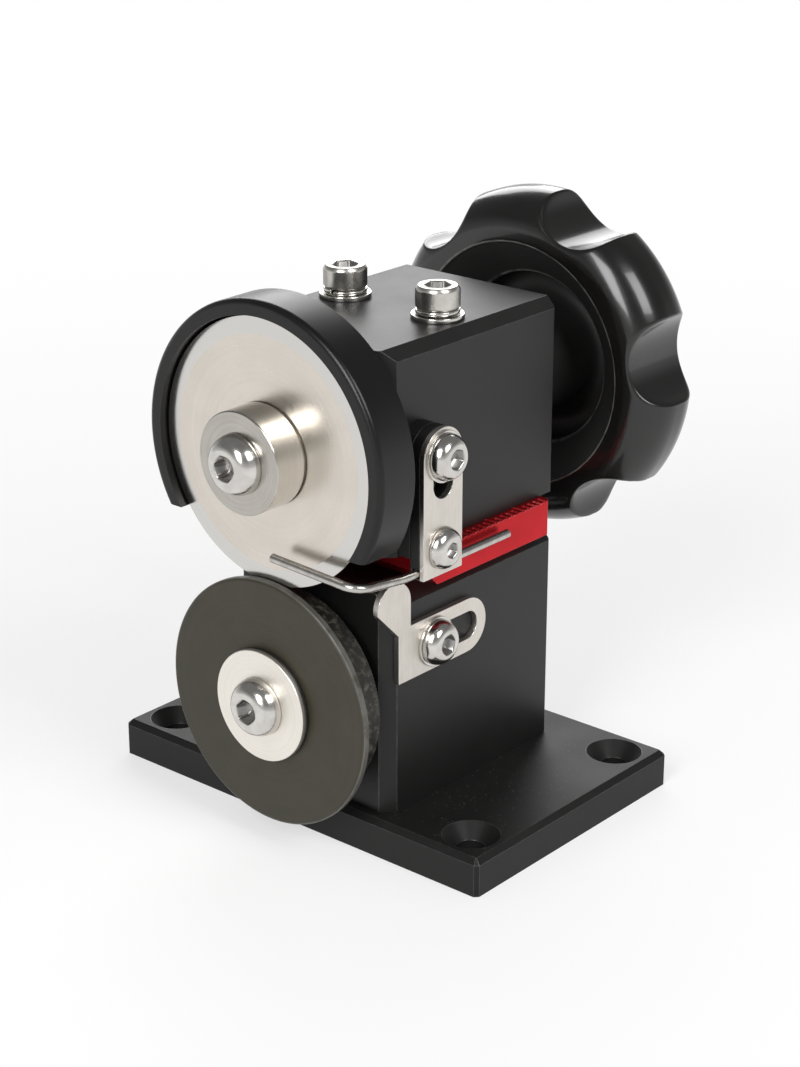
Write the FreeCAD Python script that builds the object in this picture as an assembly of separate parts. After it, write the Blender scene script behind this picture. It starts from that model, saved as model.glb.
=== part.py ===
import FreeCAD, Part
import math
import os

# Hand-turned edge trimmer for rolled leather handles.
# Millimetres. The origin is the middle of the base plate's underside.
# +X is the operator's right, +Y runs back to the hand knob and +Z is up.

Vector = FreeCAD.Vector
RIGHT = Vector(1, 0, 0)
LEFT = Vector(-1, 0, 0)
REAR = Vector(0, 1, 0)
FRONT = Vector(0, -1, 0)
UP = Vector(0, 0, 1)
DOWN = Vector(0, 0, -1)

# ---- clearances -------------------------------------------------------------
thread_fit = 0.05
shaft_fit = 0.02
slide_fit = 0.05
screw_fit = 0.3
shear_gap = 0.3
groove_fit = 0.04
edge_break = 0.5
cut_margin = 1.0

# ---- base plate ---------------------------------------------------------------
base_length = 110.0
base_width = 72.0
base_thickness = 9.0
base_corner_chamfer = 0.9
base_edge_chamfer = 1.3
mount_hole_inset = 9.0
mount_hole_radius = 3.3
mount_sink_radius = 6.6

# ---- blocks -------------------------------------------------------------------
block_shift = 3.75
block_width = 46.5
block_length = 58.0
block_setback = 3.2
upper_block_height = 46.5
spindle_above_block_bottom = 22.7
upper_top_chamfer = 2.5
lower_top_chamfer = 3.6
block_front_chamfer = 3.0
base_screw_spacing_x = 28.0
base_screw_spacing_y = 40.0

# ---- wheels -------------------------------------------------------------------
blade_radius = 30.0
blade_thickness = 1.4
bevel_width = 3.85
front_bevel_depth = 0.4
edge_land = 0.2
hub_radius = 11.5
hub_length = 8.6
hub_counterbore = 3.5
flange_radius = 12.0
disc_undersize = 1.1
disc_thickness = 1.75
disc_rim_chamfer = 0.4
disc_ground_gap = 6.5
edge_overlap = 0.9
roller_undersize = 4.2
roller_width = 7.35
roller_base_gap = 0.6
groove_depth = 0.7
disc_spacer_thickness = 1.0
disc_washer_radius = 13.0
disc_washer_thickness = 1.2

# ---- shafts and bearings --------------------------------------------------------
journal_radius = 6.0
shoulder_radius = 8.0
shaft_bore_radius = 8.5
bearing_radius = 14.0
bearing_width = 8.0
bearing_setback = 1.6
bearing_relief_radius = 10.5
bearing_relief_depth = 0.8
inner_race_radius = 8.5
outer_race_radius = 11.5
ball_radius = 2.38
ball_count = 7
ball_fit = 0.05
shield_thickness = 0.3
shield_recess = 0.2
circlip_thickness = 1.2
circlip_bite = 0.7
circlip_ring_width = 2.2
circlip_gap = 7.0
axle_tail = 1.0

# ---- guard ----------------------------------------------------------------------
guard_gap = 0.5
guard_wall = 3.5
guard_web = 5.8
guard_boss_radius = 30.0
guard_boss_depth = 3.8
guard_web_gap = 0.6
guard_lip = 1.75
guard_lip_round = 1.4
guard_drop = 17.8
guard_hole_gap = 1.0
guard_screw_circle = 19.0

# ---- top clamp screws -------------------------------------------------------------
clamp_spacing = 27.0
clamp_from_front = 28.0
clamp_screw_length = 70.0
flat_washer_radius = 6.0
flat_washer_thickness = 1.1
spring_washer_radius = 5.1
spring_washer_thickness = 1.3
spring_washer_gap = 1.0

# ---- graduated fence slide --------------------------------------------------------
fence_height = 8.4
fence_overhang = 3.2
fence_setback = 10.1
fence_tail_setback = 4.3
fence_forward = 3.5
fence_backward = 12.0
fence_nose_chamfer = 2.8
fence_tail_chamfer = 1.2
tick_pitch = 2.0
tick_width = 0.7
tick_depth = 0.3
tick_short = 2.2
tick_long = 3.4
ticks_per_long = 5
tick_start = 3.2
tick_end_margin = 2.0

# ---- guide bracket ----------------------------------------------------------------
guide_width = 13.0
guide_setback = 9.7
guide_top_rise = 23.1
guide_lift = 3.5
standoff_thickness = 3.4
standoff_bottom_rise = 0.5
guide_gap = 0.1
wire_plate_thickness = 2.6
bracket_thickness = 1.2
bracket_slot_length = 6.2
wire_radius = 1.0
wire_drop = 2.5
wire_below_screw = 4.7
wire_lip = 0.4
wire_rear_length = 25.6
wire_arm_gap = 0.9
wire_splay = 0.8
wire_arm_length = 24.6
wire_rise = 2.4
wire_arm_rise = 1.2
wire_bend_radius = 4.0
wire_rise_radius = 15.0
wire_rise_setback = 4.0
lock_washer_radius = 5.8
lock_washer_thickness = 0.6
lock_screw_length = 14.0
wire_screw_length = 3.6
standoff_screw_length = 10.0
standoff_screw_rises = (7.6, 15.2)

# ---- lip guide plate on the lower block ---------------------------------------------
lip_width = 13.0
lip_thickness = 1.5
lip_drop = 22.9
lip_rear_setback = 25.7
lip_screw_setback = 14.3
lip_front_setback = 1.8
tab_radius = 5.5
tab_setback = 0.4
tab_top_rise = 4.9
tab_heel = 7.5
lip_screw_length = 12.0

# ---- hand knob ------------------------------------------------------------------------
knob_radius = 41.0
knob_gap = 14.8
knob_width = 20.5
scallop_count = 6
scallop_radius = 11.2
scallop_depth = 7.5
scallop_phase = 21.0
scallop_chamfer = 1.2
rim_front_shoulder = 9.0
rim_back_shoulder = 8.0
rim_front_depth = 10.0
rim_back_depth = 8.5
rim_flat = 2.3
recess_edge = 0.4
recess_taper = 8.3
recess_step_depth = 7.9
recess_depth = 14.0
knob_hub_radius = 13.0
knob_hub_reach = 11.0
knob_cap_radius = 12.0
knob_cap_depth = 2.2
insert_radius = 9.5
insert_reach = 2.0
knob_washer_radius = 9.0
knob_washer_thickness = 1.6
knob_screw_length = 16.0
grub_setback = 4.0

# ---- screws: thread radius, head radius, head height, socket across flats, socket depth
M8_BUTTON = dict(thread=4.0, head=6.8, height=4.4, flats=5.0, socket=2.6)
M6_BUTTON = dict(thread=3.0, head=5.25, height=3.3, flats=4.0, socket=2.1)
M5_BUTTON = dict(thread=2.5, head=4.75, height=2.75, flats=3.0, socket=1.6)
M4_BUTTON = dict(thread=2.0, head=3.8, height=2.2, flats=2.5, socket=1.3)
M6_CAP = dict(thread=3.0, head=5.0, height=5.0, flats=5.0, socket=2.6)
M6_SUNK = dict(thread=3.0, head=6.0, height=3.3, flats=4.0, socket=2.1)
M4_SUNK = dict(thread=2.0, head=4.0, height=2.2, flats=2.5, socket=1.3)
M5_GRUB = dict(thread=2.5, head=2.5, height=0.0, flats=2.5, socket=2.5)
hub_screw_length = 20.0
disc_screw_length = 16.0
guard_screw_length = 10.0
base_screw_length = 16.0
tip_chamfer = 0.5
head_chamfer = 0.5
crown_flat = 0.5
hole_extra = 1.5

# ---- places that follow from the sizes ------------------------------------------------
base_front = -base_width / 2
block_front = base_front + block_setback
block_rear = block_front + block_length
block_left = block_shift - block_width / 2
block_right = block_shift + block_width / 2
block_middle = (block_front + block_rear) / 2

disc_radius = blade_radius - disc_undersize
roller_radius = disc_radius - roller_undersize
groove_ring_radius = roller_radius - groove_depth
axle_z = disc_radius + disc_ground_gap
spindle_z = axle_z + disc_radius + blade_radius - edge_overlap
upper_bottom = spindle_z - spindle_above_block_bottom
upper_top = upper_bottom + upper_block_height
lower_top = upper_bottom - fence_height - 2 * slide_fit

roller_rear = base_front - roller_base_gap
roller_front = roller_rear - roller_width
blade_rear = roller_front - shear_gap
blade_front = blade_rear - blade_thickness
edge_front = blade_front + front_bevel_depth
bevel_slope = front_bevel_depth / bevel_width
overlap_into_bevel = max(0.0, bevel_width - edge_overlap)
disc_gap = shear_gap * math.hypot(1, bevel_slope)
disc_rear = blade_front + overlap_into_bevel * bevel_slope - disc_gap
disc_front = disc_rear - disc_thickness
disc_spacer_front = disc_front - disc_spacer_thickness
disc_washer_front = disc_spacer_front - disc_washer_thickness
hub_front = blade_front - hub_length
guard_rear = block_front
guard_web_front = guard_rear - guard_web
guard_rim_rear = guard_rear - guard_boss_depth
guard_front = blade_front - guard_lip
guard_inner = blade_radius + guard_gap
guard_outer = guard_inner + guard_wall
guard_cut = spindle_z - guard_drop
flange_rear = guard_web_front - guard_web_gap

front_race = block_front + bearing_setback
rear_race = block_rear - bearing_setback - bearing_width
race_end = rear_race + bearing_width
ball_circle = (inner_race_radius + outer_race_radius) / 2

clamp_y = block_front + clamp_from_front
clamp_places = [block_shift - clamp_spacing / 2, block_shift + clamp_spacing / 2]
clamp_seat = upper_top + flat_washer_thickness + spring_washer_thickness
clamp_hole_radius = M6_CAP["thread"] + screw_fit

fence_nose = block_front + fence_setback
fence_tail = block_rear - fence_tail_setback
fence_side = block_right + fence_overhang
fence_bottom = lower_top + slide_fit
fence_top = fence_bottom + fence_height

guide_y = block_front + guide_setback
guide_top = upper_bottom + guide_top_rise
wire_z = upper_bottom - wire_drop
wire_screw_z = wire_z + wire_below_screw
plate_bottom = wire_z - wire_radius - wire_lip
standoff_side = block_right + standoff_thickness
wire_plate_back = standoff_side + guide_gap
bracket_back = wire_plate_back + wire_plate_thickness
bracket_face = bracket_back + bracket_thickness
wire_x = bracket_back - wire_radius - groove_fit
wire_arm_y = guard_front - wire_arm_gap - wire_radius
slot_half_width = M6_BUTTON["thread"] + screw_fit

lip_z = upper_bottom - lip_drop
lip_rear = block_front + lip_rear_setback
lip_screw_y = block_front + lip_screw_setback
lip_front = block_front + lip_front_setback
lip_face = block_right + lip_thickness
tab_y = block_front + tab_setback
tab_z = upper_bottom - tab_top_rise - tab_radius
tab_floor = tab_z - tab_heel

rim_front_radius = knob_radius - rim_front_shoulder
rim_back_radius = knob_radius - rim_back_shoulder
recess_radius = rim_front_radius - rim_flat - recess_edge
recess_inner_radius = recess_radius - recess_taper
scallop_circle = knob_radius - scallop_depth + scallop_radius
knob_front = block_rear + knob_gap
knob_back = knob_front + knob_width
knob_hub_front = knob_front - knob_hub_reach
insert_front = knob_hub_front - insert_reach
insert_back = knob_back - knob_cap_depth
spindle_end = insert_back - cut_margin


# ---- shapes -------------------------------------------------------------------------
def box(x_range, y_range, z_range):
    low = Vector(x_range[0], y_range[0], z_range[0])
    high = Vector(x_range[1], y_range[1], z_range[1])
    size = high - low
    return Part.makeBox(size.x, size.y, size.z, low)


def rod(start, direction, radius, length):
    return Part.makeCylinder(radius, length, start, direction)


def placed(shape, place, direction):
    """Turn a shape made along +Z so that it points along a direction, and move it there."""
    turned_shape = shape.copy()
    facing = FreeCAD.Placement(place, FreeCAD.Rotation(UP, direction))
    turned_shape.Placement = facing.multiply(shape.Placement)
    return turned_shape


def revolved(edges):
    """Solid of revolution about Z from a closed outline in the XZ plane."""
    face = Part.Face(Part.Wire(edges))
    return face.revolve(Vector(0, 0, 0), UP, 360)


def outline_point(point):
    return Vector(point[0], 0, point[1])


def turned(points):
    """Turned solid about Z. Each point is a radius and a height."""
    corners = [outline_point(point) for point in points]
    loop = zip(corners, corners[1:] + corners[:1])
    return revolved([Part.makeLine(a, b) for a, b in loop])


def ring(inner, outer, low, high):
    return turned([(inner, low), (outer, low), (outer, high), (inner, high)])


def on_axis(shape, height):
    """Place a shape made along +Z on a wheel's axis, so that its heights become Y values."""
    return placed(shape, Vector(block_shift, 0, height), REAR)


def union(shapes):
    joined = shapes[0]
    for shape in shapes[1:]:
        joined = joined.fuse(shape)
    return joined.removeSplitter()


def group(shapes):
    return Part.makeCompound(shapes)


def is_along(edge, direction):
    if not isinstance(edge.Curve, Part.Line):
        return False
    return abs(edge.tangentAt(edge.FirstParameter).dot(direction)) > 1 - 1e-6


def chamfer_where(shape, size, wanted):
    return shape.makeChamfer(size, [edge for edge in shape.Edges if wanted(edge)])


def hex_prism(flats, low, high):
    corner = flats / math.sqrt(3)
    points = []
    for turn in range(7):
        angle = math.radians(60 * turn)
        points.append(Vector(corner * math.cos(angle), corner * math.sin(angle), low))
    return Part.Face(Part.makePolygon(points)).extrude(Vector(0, 0, high - low))


def upright_slot(half_width, low, high):
    """Slot along Y of the local frame with round ends, as a face to extrude along Z."""
    left = Part.makeLine(Vector(-half_width, low, 0), Vector(-half_width, high, 0))
    right = Part.makeLine(Vector(half_width, high, 0), Vector(half_width, low, 0))
    top = Part.Arc(Vector(-half_width, high, 0), Vector(0, high + half_width, 0),
                   Vector(half_width, high, 0)).toShape()
    bottom = Part.Arc(Vector(half_width, low, 0), Vector(0, low - half_width, 0),
                      Vector(-half_width, low, 0)).toShape()
    return Part.Face(Part.Wire([left, top, right, bottom]))


# ---- fasteners --------------------------------------------------------------------------
def shank_points(kind, length):
    thread = kind["thread"]
    return [(0, -length), (thread - tip_chamfer, -length), (thread, -length + tip_chamfer)]


def cut_socket(head, kind):
    return head.cut(hex_prism(kind["flats"], kind["height"] - kind["socket"],
                              kind["height"] + cut_margin))


def button_screw(kind, length):
    """Dome-headed screw. Its head stands on height 0 and its thread points down."""
    crown = kind["flats"] / math.sqrt(3) + crown_flat
    corners = [outline_point(point) for point in shank_points(kind, length)]
    corners += [outline_point(point) for point in [(kind["thread"], 0), (kind["head"], 0)]]
    top = Vector(crown, 0, kind["height"])
    middle = Vector(crown + (kind["head"] - crown) * math.cos(math.pi / 4), 0,
                    kind["height"] * math.sin(math.pi / 4))
    edges = [Part.makeLine(a, b) for a, b in zip(corners, corners[1:])]
    edges.append(Part.Arc(corners[-1], middle, top).toShape())
    centre = Vector(0, 0, kind["height"])
    edges.append(Part.makeLine(top, centre))
    edges.append(Part.makeLine(centre, corners[0]))
    return cut_socket(revolved(edges), kind)


def cap_screw(kind, length):
    head, height = kind["head"], kind["height"]
    points = shank_points(kind, length)
    points += [(kind["thread"], 0), (head, 0), (head, height - head_chamfer)]
    points += [(head - head_chamfer, height), (0, height)]
    return cut_socket(turned(points), kind)


def sunk_screw(kind, length):
    """Countersunk screw. Its flat face is at height 0 and its thread points down."""
    cone = kind["head"] - kind["thread"]
    points = shank_points(kind, length) + [(kind["thread"], -cone), (kind["head"], 0), (0, 0)]
    return turned(points).cut(hex_prism(kind["flats"], -kind["socket"], cut_margin))


def grub_screw(kind, length):
    thread = kind["thread"]
    points = shank_points(kind, length)
    points += [(thread, -tip_chamfer), (thread - tip_chamfer, 0), (0, 0)]
    return turned(points).cut(hex_prism(kind["flats"], -kind["socket"], cut_margin))


def threaded_hole(place, direction, kind, length):
    """Blind hole for a screw whose head stands on place and whose thread runs along direction."""
    return rod(place, direction, kind["thread"] + thread_fit, length + hole_extra)


def sunk_hole(place, direction, kind, length):
    cone = kind["head"] - kind["thread"]
    sink = Part.makeCone(kind["head"] + thread_fit, kind["thread"] + thread_fit, cone,
                         place, direction)
    return threaded_hole(place, direction, kind, length).fuse(sink)


# ---- shaft bores in both blocks ------------------------------------------------------------
def shaft_bore(height):
    """Stepped bore along Y for a shaft, its two bearings and their circlips."""
    seat = bearing_radius + shaft_fit
    groove = bearing_radius + circlip_bite
    through = ring(0, shaft_bore_radius, block_front - cut_margin, block_rear + cut_margin)
    cuts = [through]
    for outside, inside, step in ((block_front, front_race + bearing_width, 1),
                                  (block_rear, rear_race, -1)):
        mouth = outside - step * cut_margin
        relief = inside + step * bearing_relief_depth
        face = outside + step * bearing_setback
        cuts.append(ring(0, seat, *sorted((mouth, inside))))
        cuts.append(ring(0, bearing_relief_radius, *sorted((mouth, relief))))
        cuts.append(ring(0, groove, *sorted((face - step * circlip_thickness, face))))
    return on_axis(union(cuts), height)


# ---- base and blocks -------------------------------------------------------------------------
def base_screw_places():
    places = []
    for side in (-1, 1):
        for end in (-1, 1):
            places.append(Vector(block_shift + side * base_screw_spacing_x / 2,
                                 block_middle + end * base_screw_spacing_y / 2, 0))
    return places


def make_base_plate():
    half_length, half_width = base_length / 2, base_width / 2
    plate = box((-half_length, half_length), (-half_width, half_width), (0, base_thickness))
    plate = chamfer_where(plate, base_corner_chamfer, lambda edge: is_along(edge, UP))
    top = base_thickness
    plate = chamfer_where(plate, base_edge_chamfer,
                          lambda edge: abs(edge.BoundBox.ZMin - top) < 1e-6)
    sink_depth = mount_sink_radius - mount_hole_radius
    for side in (-1, 1):
        for end in (-1, 1):
            place = Vector(side * (half_length - mount_hole_inset),
                           end * (half_width - mount_hole_inset), top)
            plate = plate.cut(rod(place + UP * cut_margin, DOWN, mount_hole_radius,
                                  base_thickness + 2 * cut_margin))
            plate = plate.cut(Part.makeCone(mount_sink_radius, mount_hole_radius, sink_depth,
                                            place, DOWN))
    for place in base_screw_places():
        plate = plate.cut(sunk_hole(place, UP, M6_SUNK, base_screw_length))
    return plate


def make_base_screws():
    screw = sunk_screw(M6_SUNK, base_screw_length)
    return group([placed(screw, place, DOWN) for place in base_screw_places()])


def block_with_edges(low, high, top_chamfer):
    shape = box((block_left, block_right), (block_front, block_rear), (low, high))
    shape = chamfer_where(shape, top_chamfer, lambda edge: is_along(edge, REAR)
                          and abs(edge.BoundBox.ZMin - high) < 1e-6)
    shape = chamfer_where(shape, block_front_chamfer, lambda edge: is_along(edge, UP)
                          and abs(edge.BoundBox.YMin - block_front) < 1e-6)
    return chamfer_where(shape, edge_break, lambda edge: is_along(edge, UP)
                         and abs(edge.BoundBox.YMin - block_rear) < 1e-6)


def make_lower_block():
    shape = block_with_edges(base_thickness, lower_top, lower_top_chamfer)
    shape = shape.cut(shaft_bore(axle_z))
    for place in base_screw_places():
        shape = shape.cut(threaded_hole(place, UP, M6_SUNK, base_screw_length))
    for x in clamp_places:
        shape = shape.cut(threaded_hole(Vector(x, clamp_y, clamp_seat), DOWN, M6_CAP,
                                        clamp_screw_length))
    lip_hole = Vector(lip_face + lock_washer_thickness, lip_screw_y, lip_z)
    return shape.cut(threaded_hole(lip_hole, LEFT, M6_BUTTON, lip_screw_length))


def make_upper_block():
    shape = block_with_edges(upper_bottom, upper_top, upper_top_chamfer)
    shape = shape.cut(shaft_bore(spindle_z))
    for x in clamp_places:
        shape = shape.cut(rod(Vector(x, clamp_y, upper_bottom - cut_margin), UP,
                              clamp_hole_radius, upper_block_height + 2 * cut_margin))
    for place in guard_screw_places():
        shape = shape.cut(threaded_hole(place, REAR, M4_BUTTON, guard_screw_length))
    shape = shape.cut(threaded_hole(lock_screw_place(), LEFT, M6_BUTTON, lock_screw_length))
    for place in standoff_screw_places():
        shape = shape.cut(threaded_hole(place, LEFT, M4_SUNK, standoff_screw_length))
    return shape


# ---- screws that clamp the head down ------------------------------------------------------------
def make_clamp_screws():
    screw = cap_screw(M6_CAP, clamp_screw_length)
    return group([placed(screw, Vector(x, clamp_y, clamp_seat), UP) for x in clamp_places])


def make_clamp_spring_washers():
    low = upper_top + flat_washer_thickness
    washer = ring(clamp_hole_radius, spring_washer_radius, low, low + spring_washer_thickness)
    slit = box((0, 2 * spring_washer_radius), (0, spring_washer_gap),
               (low - cut_margin, low + spring_washer_thickness + cut_margin))
    washer = washer.cut(slit)
    return group([placed(washer, Vector(x, clamp_y, 0), UP) for x in clamp_places])


def make_clamp_flat_washers():
    washer = ring(clamp_hole_radius, flat_washer_radius, upper_top,
                  upper_top + flat_washer_thickness)
    return group([placed(washer, Vector(x, clamp_y, 0), UP) for x in clamp_places])


# ---- graduated fence slide between the blocks ------------------------------------------------------
def make_fence_slide():
    slide = box((block_left, fence_side), (fence_nose, fence_tail), (fence_bottom, fence_top))
    slide = chamfer_where(slide, fence_nose_chamfer, lambda edge: is_along(edge, RIGHT)
                          and abs(edge.BoundBox.YMin - fence_nose) < 1e-6
                          and abs(edge.BoundBox.ZMin - fence_bottom) < 1e-6)
    slide = chamfer_where(slide, fence_tail_chamfer, lambda edge: is_along(edge, UP)
                          and edge.BoundBox.XMin > block_right
                          and edge.BoundBox.YMin > fence_tail - edge_break)
    slot_face = upright_slot(clamp_hole_radius, -fence_backward, fence_forward)
    slot = slot_face.extrude(UP * (fence_height + 2 * cut_margin))
    for x in clamp_places:
        slot_here = slot.copy()
        slot_here.translate(Vector(x, clamp_y, fence_bottom - cut_margin))
        slide = slide.cut(slot_here)
    tick_room = fence_tail - tick_end_margin - fence_nose - tick_start
    for number in range(int(tick_room // tick_pitch) + 1):
        reach = tick_long if number % ticks_per_long == 0 else tick_short
        y = fence_nose + tick_start + number * tick_pitch
        slide = slide.cut(box((fence_side - reach, fence_side + cut_margin),
                              (y, y + tick_width), (fence_top - tick_depth, fence_top + cut_margin)))
    return slide


# ---- blade guard --------------------------------------------------------------------------------
def guard_screw_places():
    places = []
    for turn in range(4):
        angle = math.radians(45 + 90 * turn)
        places.append(Vector(block_shift + guard_screw_circle * math.cos(angle),
                             guard_web_front, spindle_z + guard_screw_circle * math.sin(angle)))
    return places


def make_blade_guard():
    hole = shoulder_radius + guard_hole_gap
    cup = turned([(hole, guard_rear), (guard_boss_radius, guard_rear),
                  (guard_boss_radius, guard_rim_rear), (guard_outer, guard_rim_rear),
                  (guard_outer, guard_front), (guard_inner, guard_front),
                  (guard_inner, guard_web_front), (hole, guard_web_front)])
    lip = [edge for edge in cup.Edges if abs(edge.BoundBox.ZMax - guard_front) < 1e-6
           and abs(edge.BoundBox.XMax - guard_outer) < 1e-6]
    cup = on_axis(cup.makeFillet(guard_lip_round, lip), spindle_z)
    reach = guard_outer + cut_margin
    below = box((block_shift - reach, block_shift + reach),
                (guard_front - cut_margin, guard_rear + cut_margin),
                (spindle_z - reach, guard_cut))
    cup = cup.cut(below)
    for place in guard_screw_places():
        cup = cup.cut(rod(place + FRONT * cut_margin, REAR, M4_BUTTON["thread"] + screw_fit,
                          guard_web + 2 * cut_margin))
    return cup


def make_guard_screws():
    screw = button_screw(M4_BUTTON, guard_screw_length)
    return group([placed(screw, place, FRONT) for place in guard_screw_places()])


# ---- blade, hub and spindle ---------------------------------------------------------------------
def make_round_blade():
    bore = journal_radius + shaft_fit
    bevel_start = blade_radius - bevel_width
    return on_axis(turned([(bore, blade_rear), (bevel_start, blade_rear),
                           (blade_radius, edge_front + edge_land), (blade_radius, edge_front),
                           (bevel_start, blade_front), (bore, blade_front)]), spindle_z)


def make_blade_hub():
    bore = journal_radius + shaft_fit
    screw_bore = M8_BUTTON["thread"] + screw_fit
    step = blade_front - hub_counterbore - shaft_fit
    return on_axis(turned([(bore, blade_front), (hub_radius, blade_front),
                           (hub_radius, hub_front + edge_break),
                           (hub_radius - edge_break, hub_front), (screw_bore, hub_front),
                           (screw_bore, step), (bore, step)]), spindle_z)


def make_blade_hub_screw():
    screw = button_screw(M8_BUTTON, hub_screw_length)
    return placed(screw, Vector(block_shift, hub_front, spindle_z), FRONT)


def knob_screw_place():
    return Vector(block_shift, insert_back + knob_washer_thickness, spindle_z)


def make_blade_spindle():
    nose = blade_front - hub_counterbore
    shape = on_axis(turned([(0, nose), (journal_radius, nose), (journal_radius, blade_rear),
                            (flange_radius, blade_rear), (flange_radius, flange_rear),
                            (shoulder_radius, flange_rear), (shoulder_radius, front_race),
                            (journal_radius, front_race), (journal_radius, spindle_end),
                            (0, spindle_end)]), spindle_z)
    hub_screw_hole = threaded_hole(Vector(block_shift, hub_front, spindle_z), REAR, M8_BUTTON,
                                   hub_screw_length)
    knob_screw_hole = threaded_hole(knob_screw_place(), FRONT, M6_BUTTON, knob_screw_length)
    return shape.cut(hub_screw_hole).cut(knob_screw_hole)


# ---- lower stack and axle ---------------------------------------------------------------------------
def make_lower_disc():
    bore = journal_radius + shaft_fit
    rim = disc_radius - disc_rim_chamfer
    return on_axis(turned([(bore, disc_rear), (disc_radius, disc_rear),
                           (disc_radius, disc_front + disc_rim_chamfer), (rim, disc_front),
                           (bore, disc_front)]), axle_z)


def make_groove_ring():
    bore = journal_radius + shaft_fit
    return on_axis(ring(bore, groove_ring_radius, disc_rear, roller_front), axle_z)


def make_feed_roller():
    bore = journal_radius + shaft_fit
    return on_axis(ring(bore, roller_radius, roller_front, roller_rear), axle_z)


def make_disc_spacer():
    bore = M8_BUTTON["thread"] + screw_fit
    return on_axis(ring(bore, disc_washer_radius, disc_spacer_front, disc_front), axle_z)


def make_disc_washer():
    bore = M8_BUTTON["thread"] + screw_fit
    return on_axis(ring(bore, disc_washer_radius, disc_washer_front, disc_spacer_front), axle_z)


def make_disc_screw():
    screw = button_screw(M8_BUTTON, disc_screw_length)
    return placed(screw, Vector(block_shift, disc_washer_front, axle_z), FRONT)


def make_roller_axle():
    nose = disc_front + shear_gap
    clip_floor = journal_radius - circlip_bite / 2
    clip_end = race_end + circlip_thickness
    tail = block_rear + axle_tail
    shape = on_axis(turned([(0, nose), (journal_radius, nose), (journal_radius, roller_rear),
                            (shoulder_radius, roller_rear), (shoulder_radius, front_race),
                            (journal_radius, front_race), (journal_radius, race_end),
                            (clip_floor, race_end), (clip_floor, clip_end),
                            (journal_radius, clip_end), (journal_radius, tail), (0, tail)]),
                    axle_z)
    screw_hole = threaded_hole(Vector(block_shift, disc_washer_front, axle_z), REAR, M8_BUTTON,
                               disc_screw_length)
    return shape.cut(screw_hole)


def make_axle_circlip():
    inner = journal_radius - circlip_bite / 2 + shaft_fit
    clip = ring(inner, inner + circlip_ring_width, race_end, race_end + circlip_thickness)
    mouth = box((-circlip_gap / 2, circlip_gap / 2), (0, 2 * shoulder_radius),
                (race_end - cut_margin, race_end + circlip_thickness + cut_margin))
    return on_axis(clip.cut(mouth), axle_z)


# ---- ball bearings -----------------------------------------------------------------------------------
bearing_places = [(z, y) for z in (spindle_z, axle_z) for y in (front_race, rear_race)]


def ball_track(start):
    return Part.makeTorus(ball_circle, ball_radius + ball_fit,
                          Vector(0, 0, start + bearing_width / 2))


def inner_ring(start):
    body = ring(journal_radius + shaft_fit, inner_race_radius, start, start + bearing_width)
    return body.cut(ball_track(start))


def outer_ring(start):
    body = ring(outer_race_radius, bearing_radius, start, start + bearing_width)
    return body.cut(ball_track(start))


def make_bearing_outer_rings():
    return group([on_axis(outer_ring(start), height) for height, start in bearing_places])


def make_inner_rings(axis_height):
    return group([on_axis(inner_ring(start), height) for height, start in bearing_places
                  if height == axis_height])


def make_bearing_balls():
    balls = []
    for height, start in bearing_places:
        for number in range(ball_count):
            angle = 2 * math.pi * number / ball_count
            centre = Vector(block_shift + ball_circle * math.cos(angle),
                            start + bearing_width / 2, height + ball_circle * math.sin(angle))
            balls.append(Part.makeSphere(ball_radius, centre))
    return group(balls)


def make_bearing_shields():
    shields = []
    for height, start in bearing_places:
        far = start + bearing_width - shield_recess - shield_thickness
        for low in (start + shield_recess, far):
            shield = ring(inner_race_radius + shield_recess, outer_race_radius, low,
                          low + shield_thickness)
            shields.append(on_axis(shield, height))
    return group(shields)


def bore_circlip(low):
    outer = bearing_radius + circlip_bite - thread_fit
    clip = ring(outer - circlip_ring_width, outer, low, low + circlip_thickness)
    mouth = box((-circlip_gap / 2, circlip_gap / 2), (0, 2 * bearing_radius),
                (low - cut_margin, low + circlip_thickness + cut_margin))
    return clip.cut(mouth)


def make_bearing_circlips():
    clips = []
    for height in (spindle_z, axle_z):
        clips.append(on_axis(bore_circlip(front_race - circlip_thickness), height))
        clips.append(on_axis(bore_circlip(race_end), height))
    return group(clips)


# ---- guide bracket, wire and standoff ------------------------------------------------------------------
def lock_screw_place():
    return Vector(bracket_face + lock_washer_thickness, guide_y, guide_top)


def standoff_screw_places():
    return [Vector(standoff_side, guide_y, upper_bottom + rise) for rise in standoff_screw_rises]


def standing_plate(back, thickness, bottom, top):
    """Plate in the YZ plane with a round top. Top is the height of the rounding's centre."""
    half = guide_width / 2
    corners = [Vector(back, guide_y - half, top), Vector(back, guide_y - half, bottom),
               Vector(back, guide_y + half, bottom), Vector(back, guide_y + half, top)]
    edges = [Part.makeLine(a, b) for a, b in zip(corners, corners[1:])]
    edges.append(Part.Arc(corners[-1], Vector(back, guide_y, top + half), corners[0]).toShape())
    return Part.Face(Part.Wire(edges)).extrude(RIGHT * thickness)


def lift_slot(back, thickness):
    """Slot for the lock screw, long enough for the bracket's lift."""
    face = upright_slot(slot_half_width, -bracket_slot_length, 0)
    face.rotate(Vector(0, 0, 0), RIGHT, 90)
    face.rotate(Vector(0, 0, 0), UP, 90)
    face.translate(Vector(back - cut_margin, guide_y, guide_top))
    return face.extrude(RIGHT * (thickness + 2 * cut_margin))


def make_guide_standoff():
    shape = standing_plate(block_right, standoff_thickness, upper_bottom + standoff_bottom_rise,
                           guide_top)
    shape = shape.cut(rod(lock_screw_place(), LEFT, slot_half_width, lock_screw_length))
    for place in standoff_screw_places():
        shape = shape.cut(sunk_hole(place, LEFT, M4_SUNK, standoff_screw_length))
    return shape


def make_standoff_screws():
    screw = sunk_screw(M4_SUNK, standoff_screw_length)
    return group([placed(screw, place, RIGHT) for place in standoff_screw_places()])


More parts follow.
